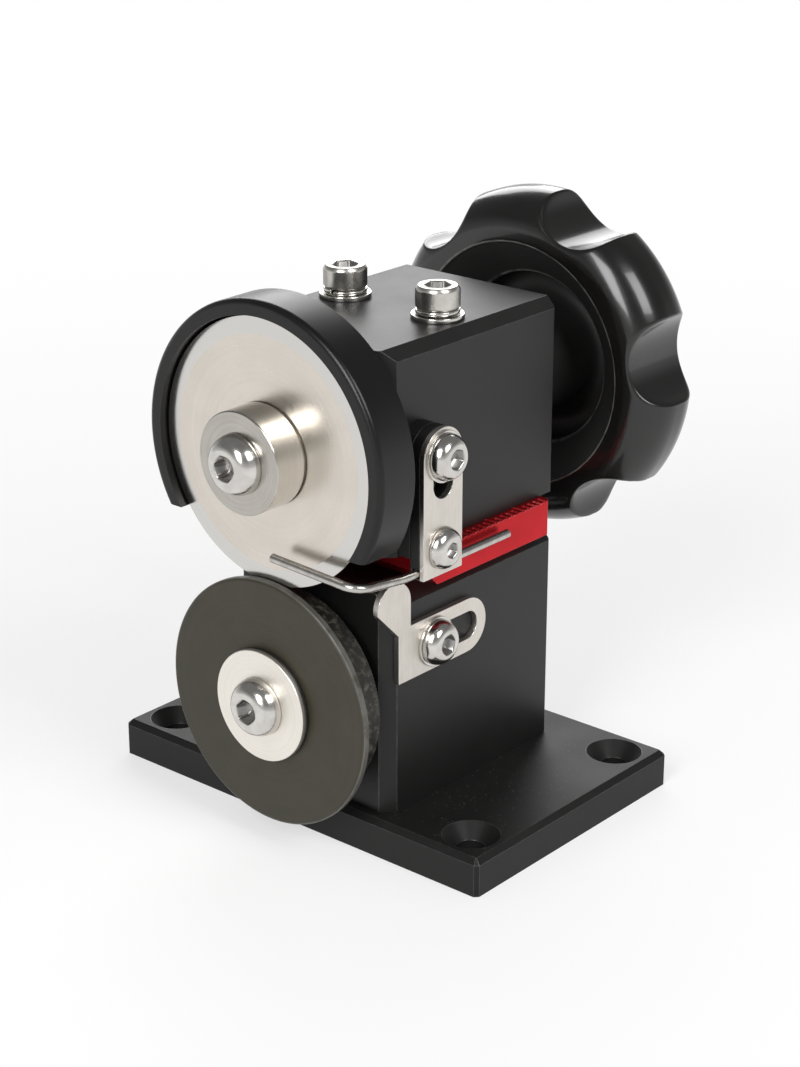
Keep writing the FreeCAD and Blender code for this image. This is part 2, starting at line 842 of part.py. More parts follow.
def make_wire_clamp_plate():
    shape = standing_plate(wire_plate_back, wire_plate_thickness, plate_bottom, guide_top)
    shape = shape.cut(lift_slot(wire_plate_back, wire_plate_thickness))
    half = wire_radius + groove_fit
    groove = box((bracket_back - 2 * half, bracket_back + cut_margin),
                 (guide_y - guide_width, guide_y + guide_width), (wire_z - half, wire_z + half))
    shape = shape.cut(groove)
    return shape.cut(threaded_hole(Vector(bracket_face, guide_y, wire_screw_z), LEFT, M5_BUTTON,
                                   wire_screw_length))


def make_guide_bracket():
    shape = standing_plate(bracket_back, bracket_thickness, plate_bottom, guide_top)
    shape = shape.cut(lift_slot(bracket_back, bracket_thickness))
    return shape.cut(threaded_hole(Vector(bracket_face, guide_y, wire_screw_z), LEFT, M5_BUTTON,
                                   wire_screw_length))


def make_bracket_lock_washer():
    washer = ring(M6_BUTTON["thread"] + screw_fit, lock_washer_radius, 0, lock_washer_thickness)
    return placed(washer, Vector(bracket_face, guide_y, guide_top), RIGHT)


def make_bracket_lock_screw():
    return placed(button_screw(M6_BUTTON, lock_screw_length), lock_screw_place(), RIGHT)


def make_wire_clamp_screw():
    screw = button_screw(M5_BUTTON, wire_screw_length)
    return placed(screw, Vector(bracket_face, guide_y, wire_screw_z), RIGHT)


def rounded_path(points, radii):
    """Path of straight runs joined by tangent arcs, one radius for each inner point."""
    edges = []
    start = points[0]
    for before, corner, after, radius in zip(points, points[1:], points[2:], radii):
        incoming = (corner - before).normalize()
        outgoing = (after - corner).normalize()
        turn = incoming.getAngle(outgoing)
        cut_back = radius * math.tan(turn / 2)
        arc_start = corner - incoming * cut_back
        arc_end = corner + outgoing * cut_back
        inward = (outgoing - incoming).normalize()
        centre_distance = radius / math.cos(turn / 2)
        middle = corner + inward * (centre_distance - radius)
        edges.append(Part.makeLine(start, arc_start))
        edges.append(Part.Arc(arc_start, middle, arc_end).toShape())
        start = arc_end
    edges.append(Part.makeLine(start, points[-1]))
    return Part.Wire(edges)


def make_guide_wire():
    rear = Vector(wire_x, guide_y + wire_rear_length, wire_z)
    rise_start = Vector(wire_x, guide_y - guide_width / 2 - wire_rise_setback, wire_z)
    bend = Vector(wire_x + wire_splay, wire_arm_y, wire_z + wire_rise)
    tip = bend + LEFT * wire_arm_length + UP * wire_arm_rise
    path = rounded_path([rear, rise_start, bend, tip], [wire_rise_radius, wire_bend_radius])
    section = Part.Wire([Part.makeCircle(wire_radius, rear, FRONT)])
    return path.makePipeShell([section], True, True)


# ---- lip guide plate on the lower block's side -----------------------------------------------------------
def make_lip_guide_plate():
    half = lip_width / 2
    x = block_right
    low, high = lip_z - half, lip_z + half
    tab_front, tab_rear = tab_y - tab_radius, tab_y + tab_radius
    tab_joint = (lip_front - tab_front) + tab_floor
    points = [Vector(x, lip_rear, low), Vector(x, lip_front, low),
              Vector(x, lip_front, tab_floor), Vector(x, tab_front, tab_joint),
              Vector(x, tab_front, tab_z)]
    edges = [Part.makeLine(a, b) for a, b in zip(points, points[1:])]
    top_start, top_end = points[-1], Vector(x, tab_rear, tab_z)
    edges.append(Part.Arc(top_start, Vector(x, tab_y, tab_z + tab_radius), top_end).toShape())
    arm_corner = Vector(x, tab_rear, high)
    edges.append(Part.makeLine(top_end, arm_corner))
    arm_end = Vector(x, lip_rear, high)
    edges.append(Part.makeLine(arm_corner, arm_end))
    edges.append(Part.Arc(arm_end, Vector(x, lip_rear + half, lip_z), points[0]).toShape())
    plate = Part.Face(Part.Wire(edges)).extrude(RIGHT * lip_thickness)
    slot = upright_slot(slot_half_width, lip_screw_y, lip_rear)
    slot.rotate(Vector(0, 0, 0), REAR, 90)
    slot.translate(Vector(x - cut_margin, 0, lip_z))
    return plate.cut(slot.extrude(RIGHT * (lip_thickness + 2 * cut_margin)))


def make_lip_guide_washer():
    washer = ring(M6_BUTTON["thread"] + screw_fit, lock_washer_radius, 0, lock_washer_thickness)
    return placed(washer, Vector(lip_face, lip_screw_y, lip_z), RIGHT)


def make_lip_guide_screw():
    place = Vector(lip_face + lock_washer_thickness, lip_screw_y, lip_z)
    return placed(button_screw(M6_BUTTON, lip_screw_length), place, RIGHT)


# ---- hand knob ---------------------------------------------------------------------------------------------
def grub_place():
    return Vector(block_shift + knob_hub_radius, knob_hub_front + grub_setback, spindle_z)


def grub_length():
    return knob_hub_radius - journal_radius - thread_fit


def make_rear_collar():
    return on_axis(ring(journal_radius + shaft_fit, insert_radius, race_end, insert_front),
                   spindle_z)


def rims_a_scallop(edge):
    """Whether an edge is where a scallop's wall meets the knob's turned outside."""
    middle = edge.valueAt((edge.FirstParameter + edge.LastParameter) / 2)
    pitch = 2 * math.pi / scallop_count
    turn = (math.floor(math.atan2(middle.y, middle.x) / pitch) + 0.5) * pitch
    reach = math.hypot(middle.x - scallop_circle * math.cos(turn),
                       middle.y - scallop_circle * math.sin(turn))
    return abs(reach - scallop_radius) < 1e-4


def make_hand_knob():
    bore = insert_radius + shaft_fit
    floor = knob_front + recess_depth
    corners = [(knob_cap_radius, knob_back), (knob_cap_radius, insert_back), (bore, insert_back),
               (bore, knob_hub_front), (knob_hub_radius, knob_hub_front), (knob_hub_radius, floor),
               (recess_inner_radius - recess_edge, floor),
               (recess_inner_radius, knob_front + recess_step_depth),
               (recess_radius, knob_front + recess_edge),
               (recess_radius + recess_edge, knob_front), (rim_front_radius, knob_front)]
    corners = [outline_point(corner) for corner in corners]
    edges = [Part.makeLine(a, b) for a, b in zip(corners, corners[1:])]
    front_end = outline_point((knob_radius, knob_front + rim_front_depth))
    back_start = outline_point((knob_radius, knob_back - rim_back_depth))
    back_end = outline_point((rim_back_radius, knob_back))
    bulge = 1 - math.sin(math.pi / 4)
    front_middle = outline_point((knob_radius - rim_front_shoulder * bulge,
                                  knob_front + rim_front_depth * bulge))
    back_middle = outline_point((knob_radius - rim_back_shoulder * bulge,
                                 knob_back - rim_back_depth * bulge))
    edges.append(Part.Arc(corners[-1], front_middle, front_end).toShape())
    edges.append(Part.makeLine(front_end, back_start))
    edges.append(Part.Arc(back_start, back_middle, back_end).toShape())
    edges.append(Part.makeLine(back_end, corners[0]))
    knob = revolved(edges)
    pitch = 360 / scallop_count
    for number in range(scallop_count):
        cutter = rod(Vector(scallop_circle, 0, knob_front - cut_margin), UP, scallop_radius,
                     knob_width + 2 * cut_margin)
        cutter.rotate(Vector(0, 0, 0), UP, (number + 0.5) * pitch)
        knob = knob.cut(cutter)
    knob = chamfer_where(knob, scallop_chamfer, rims_a_scallop)
    knob.rotate(Vector(0, 0, 0), UP, scallop_phase - 90 - pitch / 2)
    knob = on_axis(knob, spindle_z)
    hole = rod(grub_place() + RIGHT * cut_margin, LEFT, M5_GRUB["thread"] + thread_fit,
               grub_length() + cut_margin)
    return knob.cut(hole)


def make_knob_insert():
    shape = on_axis(ring(journal_radius + shaft_fit, insert_radius, insert_front, insert_back),
                    spindle_z)
    return shape.cut(rod(grub_place(), LEFT, M5_GRUB["thread"] + thread_fit, grub_length()
                         + journal_radius / 2))


def make_knob_grub_screw():
    return placed(grub_screw(M5_GRUB, grub_length()), grub_place(), RIGHT)


def make_knob_washer():
    return on_axis(ring(M6_BUTTON["thread"] + screw_fit, knob_washer_radius, insert_back,
                        insert_back + knob_washer_thickness), spindle_z)


def make_knob_screw():
    return placed(button_screw(M6_BUTTON, knob_screw_length), knob_screw_place(), REAR)


# ---- every node ------------------------------------------------------------------------------------------------
parts = {
    "base_plate": make_base_plate(),
    "base_block_screws": make_base_screws(),
    "lower_block": make_lower_block(),
    "upper_block": make_upper_block(),
    "clamp_screws": make_clamp_screws(),
    "clamp_spring_washers": make_clamp_spring_washers(),
    "clamp_flat_washers": make_clamp_flat_washers(),
    "fence_slide": make_fence_slide(),
    "blade_guard": make_blade_guard(),
    "guard_screws": make_guard_screws(),
    "blade_spindle": make_blade_spindle(),
    "round_blade": make_round_blade(),
    "blade_hub": make_blade_hub(),
    "blade_hub_screw": make_blade_hub_screw(),
    "bearing_outer_rings": make_bearing_outer_rings(),
    "bearing_balls": make_bearing_balls(),
    "bearing_shields": make_bearing_shields(),
    "bearing_circlips": make_bearing_circlips(),
    "spindle_inner_rings": make_inner_rings(spindle_z),
    "axle_inner_rings": make_inner_rings(axle_z),
    "rear_collar": make_rear_collar(),
    "hand_knob": make_hand_knob(),
    "knob_insert": make_knob_insert(),
    "knob_grub_screw": make_knob_grub_screw(),
    "knob_washer": make_knob_washer(),
    "knob_screw": make_knob_screw(),
    "roller_axle": make_roller_axle(),
    "feed_roller": make_feed_roller(),
    "groove_ring": make_groove_ring(),
    "lower_disc": make_lower_disc(),
    "disc_spacer": make_disc_spacer(),
    "disc_washer": make_disc_washer(),
    "disc_screw": make_disc_screw(),
    "axle_circlip": make_axle_circlip(),
    "guide_standoff": make_guide_standoff(),
    "standoff_screws": make_standoff_screws(),
    "wire_clamp_plate": make_wire_clamp_plate(),
    "guide_bracket": make_guide_bracket(),
    "bracket_lock_washer": make_bracket_lock_washer(),
    "bracket_lock_screw": make_bracket_lock_screw(),
    "wire_clamp_screw": make_wire_clamp_screw(),
    "guide_wire": make_guide_wire(),
    "lip_guide_plate": make_lip_guide_plate(),
    "lip_guide_washer": make_lip_guide_washer(),
    "lip_guide_screw": make_lip_guide_screw(),
}

os.makedirs("parts", exist_ok=True)
for name, shape in parts.items():
    shape.exportStep("parts/" + name + ".step")
    print(name, len(shape.Solids), "valid" if shape.isValid() else "INVALID",
          round(shape.Volume, 1))
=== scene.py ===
import math

import bmesh
import bpy
from mathutils import Matrix, Vector


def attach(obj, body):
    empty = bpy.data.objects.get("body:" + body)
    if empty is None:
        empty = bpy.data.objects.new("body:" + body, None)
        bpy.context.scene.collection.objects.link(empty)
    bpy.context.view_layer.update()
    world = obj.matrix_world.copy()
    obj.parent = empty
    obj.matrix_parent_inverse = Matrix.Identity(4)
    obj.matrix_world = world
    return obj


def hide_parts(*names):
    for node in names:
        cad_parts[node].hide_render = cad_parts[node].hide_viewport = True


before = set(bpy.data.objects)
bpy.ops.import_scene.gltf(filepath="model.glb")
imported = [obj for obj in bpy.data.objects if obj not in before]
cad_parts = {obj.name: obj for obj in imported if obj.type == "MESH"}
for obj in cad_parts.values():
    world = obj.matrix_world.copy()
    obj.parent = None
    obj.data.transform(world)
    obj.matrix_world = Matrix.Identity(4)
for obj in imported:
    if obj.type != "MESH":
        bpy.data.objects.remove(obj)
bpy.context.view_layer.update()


# ---- Light table -------------------------------------------------------------------------
# The tool stands on a pale seamless sweep under three softboxes, a wide one behind at
# the left and smaller ones in front and at the right. The floor fades into the white.
class Tone:
    """One value in a node tree. Sums written in Python add Math nodes to the tree."""

    def __init__(self, tree, socket=None):
        self.tree = tree
        self.socket = socket

    def node(self, kind, settings, values, out=0):
        made = self.tree.nodes.new(kind)
        for name, value in settings.items():
            if name == "stops":
                stops = made.color_ramp.elements
                while len(stops) < len(value):
                    stops.new(1.0)
                for stop, (place, colour) in zip(stops, value):
                    stop.position = place
                    stop.color = colour
            else:
                setattr(made, name, value)
        for name, value in values.items():
            if isinstance(value, Tone):
                self.tree.links.new(value.socket, made.inputs[name])
            else:
                made.inputs[name].default_value = value
        return Tone(self.tree, made.outputs[out])

    def math(self, operation, *values):
        return self.node("ShaderNodeMath", {"operation": operation}, dict(enumerate(values)))

    def __add__(self, other):
        return self.math("ADD", self, other)

    def __radd__(self, other):
        return self.math("ADD", other, self)

    def __sub__(self, other):
        return self.math("SUBTRACT", self, other)

    def __rsub__(self, other):
        return self.math("SUBTRACT", other, self)

    def __mul__(self, other):
        return self.math("MULTIPLY", self, other)

    def __rmul__(self, other):
        return self.math("MULTIPLY", other, self)

    def __pow__(self, other):
        return self.math("POWER", self, other)

    def __rpow__(self, other):
        return self.math("POWER", other, self)

    def __gt__(self, other):
        return self.math("GREATER_THAN", self, other)

    def __lt__(self, other):
        return self.math("LESS_THAN", self, other)

    def ramp(self, low, high, bottom=0.0, top=1.0):
        """Bottom below low, top above high and a smooth climb between them."""
        return self.node("ShaderNodeMapRange", {"interpolation_type": "SMOOTHSTEP"},
                         {"Value": self, "From Min": low, "From Max": high,
                          "To Min": bottom, "To Max": top})

    def blend(self, plain, other):
        """Mix of two colours, with this value as the share of the second."""
        return self.node("ShaderNodeMix", {"data_type": "RGBA"},
                         {0: self, 6: plain, 7: other}, 2)

    def noise(self, scale, detail=2.0, where=None, roughness=0.5):
        """Noise with bumps of about one over scale metres, on object coordinates."""
        where = where or self.place()
        return self.node("ShaderNodeTexNoise", {}, {"Vector": where, "Scale": scale,
                                                    "Detail": detail, "Roughness": roughness})

    def place(self):
        return self.node("ShaderNodeTexCoord", {}, {}, "Object")

    def mark(self, name):
        """Value of a mesh attribute, nought on a mesh that has none of that name."""
        return self.node("ShaderNodeAttribute", {"attribute_name": name}, {}, "Fac")

    def axis(self, name, where=None):
        where = where or self.place()
        return self.node("ShaderNodeSeparateXYZ", {}, {0: where}, name)

    def stretched(self, scale, origin=(0, 0, 0)):
        """Object coordinates moved so that origin is the zero, then scaled along each axis."""
        moved = self.node("ShaderNodeVectorMath", {"operation": "SUBTRACT"},
                          {0: self.place(), 1: origin})
        return self.node("ShaderNodeVectorMath", {"operation": "MULTIPLY"},
                         {0: moved, 1: scale})

    def bump(self, strength, depth):
        return self.node("ShaderNodeBump", {}, {"Height": self, "Strength": strength,
                                                "Distance": depth}, "Normal")


def make_finish(name, fixed, varying):
    """Finish with steady values on the shader's own sockets and varying(start) for the rest."""
    material = bpy.data.materials.new(name)
    material.use_nodes = True
    shader = material.node_tree.nodes["Principled BSDF"]
    for socket, value in fixed.items():
        shader.inputs[socket].default_value = value
    for socket, tone in varying(Tone(material.node_tree)).items():
        material.node_tree.links.new(tone.socket, shader.inputs[socket])
    return material


def seen_directly(start):
    """One for the camera's own rays and for what metal and glass show, nought for light."""
    ray = start.node("ShaderNodeLightPath", {}, {})
    outs = ray.socket.node.outputs
    camera_ray = Tone(start.tree, outs["Is Camera Ray"])
    glossy_ray = Tone(start.tree, outs["Is Glossy Ray"])
    through_ray = Tone(start.tree, outs["Is Transmission Ray"])
    reflected = start.math("MAXIMUM", glossy_ray, through_ray)
    return camera_ray, start.math("MAXIMUM", camera_ray, reflected)


def light_world():
    world = bpy.data.worlds.new("studio")
    bpy.context.scene.world = world
    world.use_nodes = True
    start = Tone(world.node_tree)
    background = world.node_tree.nodes["Background"]
    background.inputs["Color"].default_value = (1, 1, 1, 1)
    camera_ray, mirrored = seen_directly(start)
    height = start.axis("Z", start.node("ShaderNodeTexCoord", {}, {}, "Generated"))
    band = height.ramp(0.02, 0.42, 0.60, 0.20)
    strength = camera_ray + (1 - camera_ray) * (mirrored * band + (1 - mirrored) * 0.40)
    world.node_tree.links.new(strength.socket, background.inputs["Strength"])


def softbox(name, place, aim, width, height, power):
    lamp = bpy.data.lights.new(name, "AREA")
    lamp.shape = "RECTANGLE"
    lamp.size = width
    lamp.size_y = height
    lamp.energy = power
    box = bpy.data.objects.new(name, lamp)
    box.location = place
    box.rotation_euler = (Vector(aim) - Vector(place)).to_track_quat("-Z", "Y").to_euler()
    box.visible_camera = False
    bpy.context.scene.collection.objects.link(box)


def lay_floor():
    reach = 4.0
    mesh = bpy.data.meshes.new("floor")
    corners = [(-reach, -reach, 0), (reach, -reach, 0), (reach, reach, 0), (-reach, reach, 0)]
    mesh.from_pydata(corners, [], [(0, 1, 2, 3)])
    floor = bpy.data.objects.new("floor", mesh)
    bpy.context.scene.collection.objects.link(floor)
    material = bpy.data.materials.new("pale_sweep")
    material.use_nodes = True
    tree = material.node_tree
    shader = tree.nodes["Principled BSDF"]
    shader.inputs["Base Color"].default_value = (0.86, 0.86, 0.86, 1)
    shader.inputs["Roughness"].default_value = 0.9
    shader.inputs["Specular IOR Level"].default_value = 0.1
    start = Tone(tree)
    mirrored = seen_directly(start)[1]
    away = start.node("ShaderNodeVectorMath", {"operation": "LENGTH"}, {0: start.place()}, "Value")
    white = away.ramp(0.12, 0.55, 0.55, 1.0) * mirrored
    glow = tree.nodes.new("ShaderNodeEmission")
    glow.inputs["Strength"].default_value = 1.0
    mixed = tree.nodes.new("ShaderNodeMixShader")
    tree.links.new(white.socket, mixed.inputs[0])
    tree.links.new(shader.outputs[0], mixed.inputs[1])
    tree.links.new(glow.outputs[0], mixed.inputs[2])
    tree.links.new(mixed.outputs[0], tree.nodes["Material Output"].inputs["Surface"])
    mesh.materials.append(material)


camera = bpy.data.objects.new("camera", bpy.data.cameras.new("camera"))
camera.data.lens = 80.35
camera.data.sensor_width = 36.0
camera.location = (0.3372, -0.3920, 0.2614)
look = Vector((0.00099, 0.00157, 0.0605)) - camera.location
camera.rotation_euler = look.to_track_quat("-Z", "Y").to_euler()
bpy.context.scene.collection.objects.link(camera)
bpy.context.scene.camera = camera
bpy.context.scene.view_settings.view_transform = "Standard"
light_world()
softbox("right_softbox", (0.76, -0.09, 0.72), (0, 0, 0.10), 0.40, 0.44, 4.5)
softbox("front_softbox", (0.25, -0.90, 0.62), (0, 0, 0.10), 0.38, 0.58, 7.2)
softbox("rear_left_softbox", (-0.72, 0.90, 0.64), (0, 0, 0.10), 0.95, 0.6, 6.8)
lay_floor()


# ---- Base plate --------------------------------------------------------------------------
# Sawn and milled aluminium bar, bead blasted and anodised black. Four countersunk holes
# near its corners take the bench screws, and leather dust settles on its top.
MM = 0.001


def welded(node):
    """Copy of a CAD solid with its triangles joined, flat faces whole and smooth shading broken at
    sharp edges.
    """
    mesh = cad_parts[node].data.copy()
    mesh.materials.clear()
    solid = bmesh.new()
    solid.from_mesh(mesh)
    bmesh.ops.remove_doubles(solid, verts=solid.verts, dist=0.002 * MM)
    bmesh.ops.dissolve_limit(solid, angle_limit=math.radians(1), verts=solid.verts,
                             edges=solid.edges)
    solid.to_mesh(mesh)
    solid.free()
    mesh.shade_smooth()
    mesh.set_sharp_from_angle(angle=math.radians(30))
    return mesh


def settle(name, mesh, finishes, body, nodes, edge=0.0):
    """Put a finished mesh in the scene for its CAD nodes, with its edges softened by a bevel."""
    mesh.name = name
    for finish in finishes:
        mesh.materials.append(finish)
    piece = bpy.data.objects.new(name, mesh)
    bpy.context.scene.collection.objects.link(piece)
    if edge:
        bevel = piece.modifiers.new("soft_edges", "BEVEL")
        bevel.width = edge * MM
        bevel.segments = 2
        bevel.limit_method = "ANGLE"
        bevel.angle_limit = math.radians(28)
        bevel.material = len(finishes) - 1
        bevel.harden_normals = False
    flat = piece.modifiers.new("true_flats", "WEIGHTED_NORMAL")
    flat.mode = "FACE_AREA"
    flat.weight = 100
    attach(piece, body)
    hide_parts(*nodes)
    return piece


def dust_specks(start, scale, share):
    """Scattered pale specks lying on what faces up."""
    up = start.axis("Z", start.node("ShaderNodeNewGeometry", {}, {}, "Normal")).ramp(0.75, 0.95)
    cells = start.node("ShaderNodeTexVoronoi", {}, {"Vector": start.place(), "Scale": scale},
                       "Distance")
    sizes = start.noise(scale * 0.35, 1.0)
    specks = 1 - cells.ramp(0.05, 0.16)
    return specks * (sizes > 1 - share) * up


def anodised(start, grain, dust, rough=0.30, lightest=0.0125):
    fine = start.noise(5200, 2.0)
    soft = start.noise(90, 3.0)
    specks = dust_specks(start, 1100, dust)
    plain = soft.blend((lightest * 0.6, lightest * 0.6, lightest * 0.6, 1),
                       (lightest, lightest * 0.96, lightest * 0.92, 1))
    return {"Base Color": specks.blend(plain, (0.17, 0.15, 0.12, 1)),
            "Roughness": rough + soft * 0.12 + specks * 0.3,
            "Normal": fine.bump(0.35, grain)}


def edge_shine(start):
    rub = start.noise(420, 3.0).ramp(0.35, 0.75)
    return {"Base Color": rub.blend((0.014, 0.014, 0.014, 1), (0.045, 0.044, 0.042, 1)),
            "Roughness": 0.30 + rub * 0.1}


black_anodised = make_finish("black_anodised", {"Specular IOR Level": 0.36},
                             lambda start: anodised(start, 0.00003, 0.30, 0.35))
dusty_anodised = make_finish("dusty_anodised", {"Specular IOR Level": 0.24},
                             lambda start: anodised(start, 0.00003, 0.52, 0.42))
rubbed_edge = make_finish("rubbed_edge", {"Specular IOR Level": 0.55}, edge_shine)

settle("bench_plate", welded("base_plate"), [dusty_anodised, rubbed_edge], "frame",
       ["base_plate"], 0.3)


# ---- Axle block and spindle block --------------------------------------------------------
# Two blocks of the same anodised bar, milled square with broken corners. The lower one is
# screwed down from under the plate and the upper one is clamped on it by two long screws.
settle("axle_block", welded("lower_block"), [black_anodised, rubbed_edge], "frame",
       ["lower_block"], 0.25)
settle("spindle_block", welded("upper_block"), [black_anodised, rubbed_edge], "frame",
       ["upper_block"], 0.25)


def brushed(start, plain, worn, stretch, rough=0.30):
    """Steel with fine marks drawn out along one axis and a soft mottle under them."""
    marks = start.noise(1.0, 3.0, start.stretched(stretch))
    mottle = start.noise(160, 3.0)
    return {"Base Color": (marks * 0.5 + mottle * 0.5).ramp(0.25, 0.75).blend(plain, worn),
            "Roughness": rough + marks * 0.10 + mottle * 0.06,
            "Normal": marks.bump(0.25, 0.00002)}


def polished(start, plain, worn, rough=0.15):
    """Bright machined steel with hairline scratches, with painted shade darkening the inside of
    its sockets.
    """
    scratches = start.noise(2600, 4.0)
    mottle = start.noise(420, 2.0)
    # painted shade: sockets darker and rougher inside
    socket_painted_shade = start.mark("socket")
    bright = mottle.ramp(0.3, 0.7).blend(plain, worn)
    return {"Base Color": socket_painted_shade.blend(bright, (0.30, 0.29, 0.28, 1)),
            "Roughness": rough + mottle * 0.08 + socket_painted_shade * 0.12,
            "Normal": scratches.bump(0.12, 0.00001)}


METAL = {"Metallic": 1.0}
bright_stainless = make_finish("bright_stainless", METAL, lambda start: polished(
    start, (0.68, 0.66, 0.63, 1), (0.60, 0.58, 0.55, 1)))
socket_screws_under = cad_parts["base_block_screws"]
socket_screws_under.data.materials.clear()
socket_screws_under.data.materials.append(bright_stainless)


# ---- Ball bearings and circlips ----------------------------------------------------------
# Each shaft runs in two shielded ball bearings of ground steel, pressed into the block and
# kept there by spring steel circlips. The rings are drawn plain, without the balls'
# tracks, so the balls sink a little into them behind the shields.
AXIS_X = 3.75
AXLE_Z = 35.4
SPINDLE_Z = 93.4
RACE_STARTS = (-31.2, 15.6)
RACE_WIDTH = 8.0
RACE_RADIUS = 8.5
HOUSING_RADIUS = 14.0
JOURNAL = 6.0
BORE = 6.02
SHOULDER = 8.0
CLIP_WIDTH = 1.2
BALL_CIRCLE = 10.0
BALL_RADIUS = 2.38
BALLS = 7


def softened(corners):
    """Profile with its corners drawn out into short curves. A corner is a radius, a height,
    how far it is softened and a mark for its ring."""
    outline = []
    befores = corners[-1:] + corners[:-1]
    afters = corners[1:] + corners[:1]
    for before, (radius, height, soft, mark), after in zip(befores, corners, afters):
        here = Vector((radius, height))
        if not soft:
            outline.append((radius, height, mark))
            continue
        start = here + (Vector(before[:2]) - here).normalized() * soft
        end = here + (Vector(after[:2]) - here).normalized() * soft
        for share in (0, 1 / 3, 2 / 3, 1):
            spot = start * (1 - share) ** 2 + here * 2 * share * (1 - share) + end * share ** 2
            outline.append((spot.x, spot.y, mark))
    return outline


def lathe(corners, steps=144, reach=None):
    """Turned mesh about Z from a closed profile. Reach changes a ring's radius by its angle."""
    solid = bmesh.new()
    # A ring marked hex fills the mask for painted shade in screw sockets.
    socket_shade_layer = solid.verts.layers.float.new("socket")
    # A ring marked edge fills the mask for a painted highlight line.
    painted_highlight_layer = solid.verts.layers.float.new("rubbed")
    rings = []
    for radius, height, mark in softened([(*corner, 0, "")[:4] if len(corner) == 2 else
                                          (*corner, "")[:4] for corner in corners]):
        ring = []
        for step in range(steps if radius > 0.001 else 1):
            angle = 2 * math.pi * step / steps
            out = reach(radius, angle, step, mark) if reach else radius
            ring.append(solid.verts.new((out * math.cos(angle) * MM, out * math.sin(angle) * MM,
                                         height * MM)))
            ring[-1][socket_shade_layer] = 1.0 if mark == "hex" else 0.0
            ring[-1][painted_highlight_layer] = 1.0 if mark == "edge" else 0.0
        rings.append(ring)
    for low, high in zip(rings, rings[1:] + rings[:1]):
        if len(low) == 1 and len(high) == 1:
            continue
        for step in range(steps):
            after = step + 1
            corners_here = [low[step % len(low)], low[after % len(low)],
                            high[after % len(high)], high[step % len(high)]]
            solid.faces.new(list(dict.fromkeys(corners_here)))
    bmesh.ops.recalc_face_normals(solid, faces=solid.faces)
    mesh = bpy.data.meshes.new("turned")
    solid.to_mesh(mesh)
    solid.free()
    return mesh


def smooth(mesh):
    mesh.shade_smooth()
    mesh.set_sharp_from_angle(angle=math.radians(40))
    return mesh


def on_wheel(mesh, height):
    """Move a mesh turned about Z on to a shaft, so that its heights run back along Y."""
    mesh.transform(Matrix.Translation((AXIS_X * MM, 0, height * MM))
                   @ Matrix.Rotation(-math.pi / 2, 4, "X"))
    return smooth(mesh)


def band(inner, outer, low, high, soft=0.2):
    return [(inner, low, soft), (outer, low, soft), (outer, high, soft), (inner, high, soft)]


def joined(meshes):
    """One mesh from several."""
    solid = bmesh.new()
    for mesh in meshes:
        solid.from_mesh(mesh)
    whole = bpy.data.meshes.new("joined")
    solid.to_mesh(whole)
    solid.free()
    return smooth(whole)


def spun(start, height, grain=3000.0):
    """Noise drawn out round a shaft's axis, as a lathe or a grinder leaves it."""
    across = start.axis("X") - AXIS_X * MM
    up = start.axis("Z") - height * MM
    radius = (across * across + up * up) ** 0.5
    where = start.node("ShaderNodeCombineXYZ", {}, {0: radius, 1: start.axis("Y"),
                                                    2: across * 0.02})
    return radius, start.noise(grain, 3.0, where)


def turned_finish(name, height, plain, worn, rough=0.22, grooves=0.00003, fixed=METAL):
    def varying(start):
        marks = spun(start, height)[1]
        mottle = start.noise(150, 3.0)
        return {"Base Color": (marks * 0.6 + mottle * 0.4).ramp(0.3, 0.7).blend(plain, worn),
                "Roughness": rough + marks * 0.12 + mottle * 0.05,
                "Normal": marks.bump(0.35, grooves)}
    return make_finish(name, fixed, varying)


bearing_steel = make_finish("bearing_steel", METAL, lambda start: polished(
    start, (0.60, 0.59, 0.57, 1), (0.52, 0.51, 0.49, 1)))
shield_steel = make_finish("shield_steel", METAL, lambda start: brushed(
    start, (0.50, 0.49, 0.47, 1), (0.42, 0.41, 0.40, 1), (2500, 2500, 2500), 0.34))
circlip_steel = make_finish("circlip_steel", METAL, lambda start: polished(
    start, (0.05, 0.05, 0.05, 1), (0.08, 0.08, 0.078, 1)))


def at_bearings(profile, heights):
    """The same turned ring at both bearings of each shaft."""
    meshes = []
    for height in heights:
        for start in RACE_STARTS:
            moved = [(corner[0], corner[1] + start, *corner[2:]) for corner in profile]
            meshes.append(on_wheel(lathe(moved), height))
    return joined(meshes)


outer_race = band(11.5, HOUSING_RADIUS, 0, RACE_WIDTH, 0.3)
inner_race = band(BORE, RACE_RADIUS, 0, RACE_WIDTH, 0.3)
settle("bearing_outer_races", at_bearings(outer_race, (SPINDLE_Z, AXLE_Z)), [bearing_steel],
       "frame", ["bearing_outer_rings"])
settle("spindle_inner_races", at_bearings(inner_race, (SPINDLE_Z,)), [bearing_steel],
       "spindle", ["spindle_inner_rings"])
settle("axle_inner_races", at_bearings(inner_race, (AXLE_Z,)), [bearing_steel],
       "roller", ["axle_inner_rings"])
front_shield = [(8.7, 0.2, 0.05), (9.3, 0.2, 0.1), (9.5, 0.35, 0.1), (10.7, 0.35, 0.1),
                (10.9, 0.2, 0.1), (11.5, 0.2, 0.05), (11.5, 0.5, 0.05), (8.7, 0.5, 0.05)]
rear_shield = [(radius, RACE_WIDTH - height, soft) for radius, height, soft in front_shield]
settle("bearing_shield_discs", joined([at_bearings(front_shield, (SPINDLE_Z, AXLE_Z)),
                                       at_bearings(rear_shield, (SPINDLE_Z, AXLE_Z))]),
       [shield_steel], "frame", ["bearing_shields"])


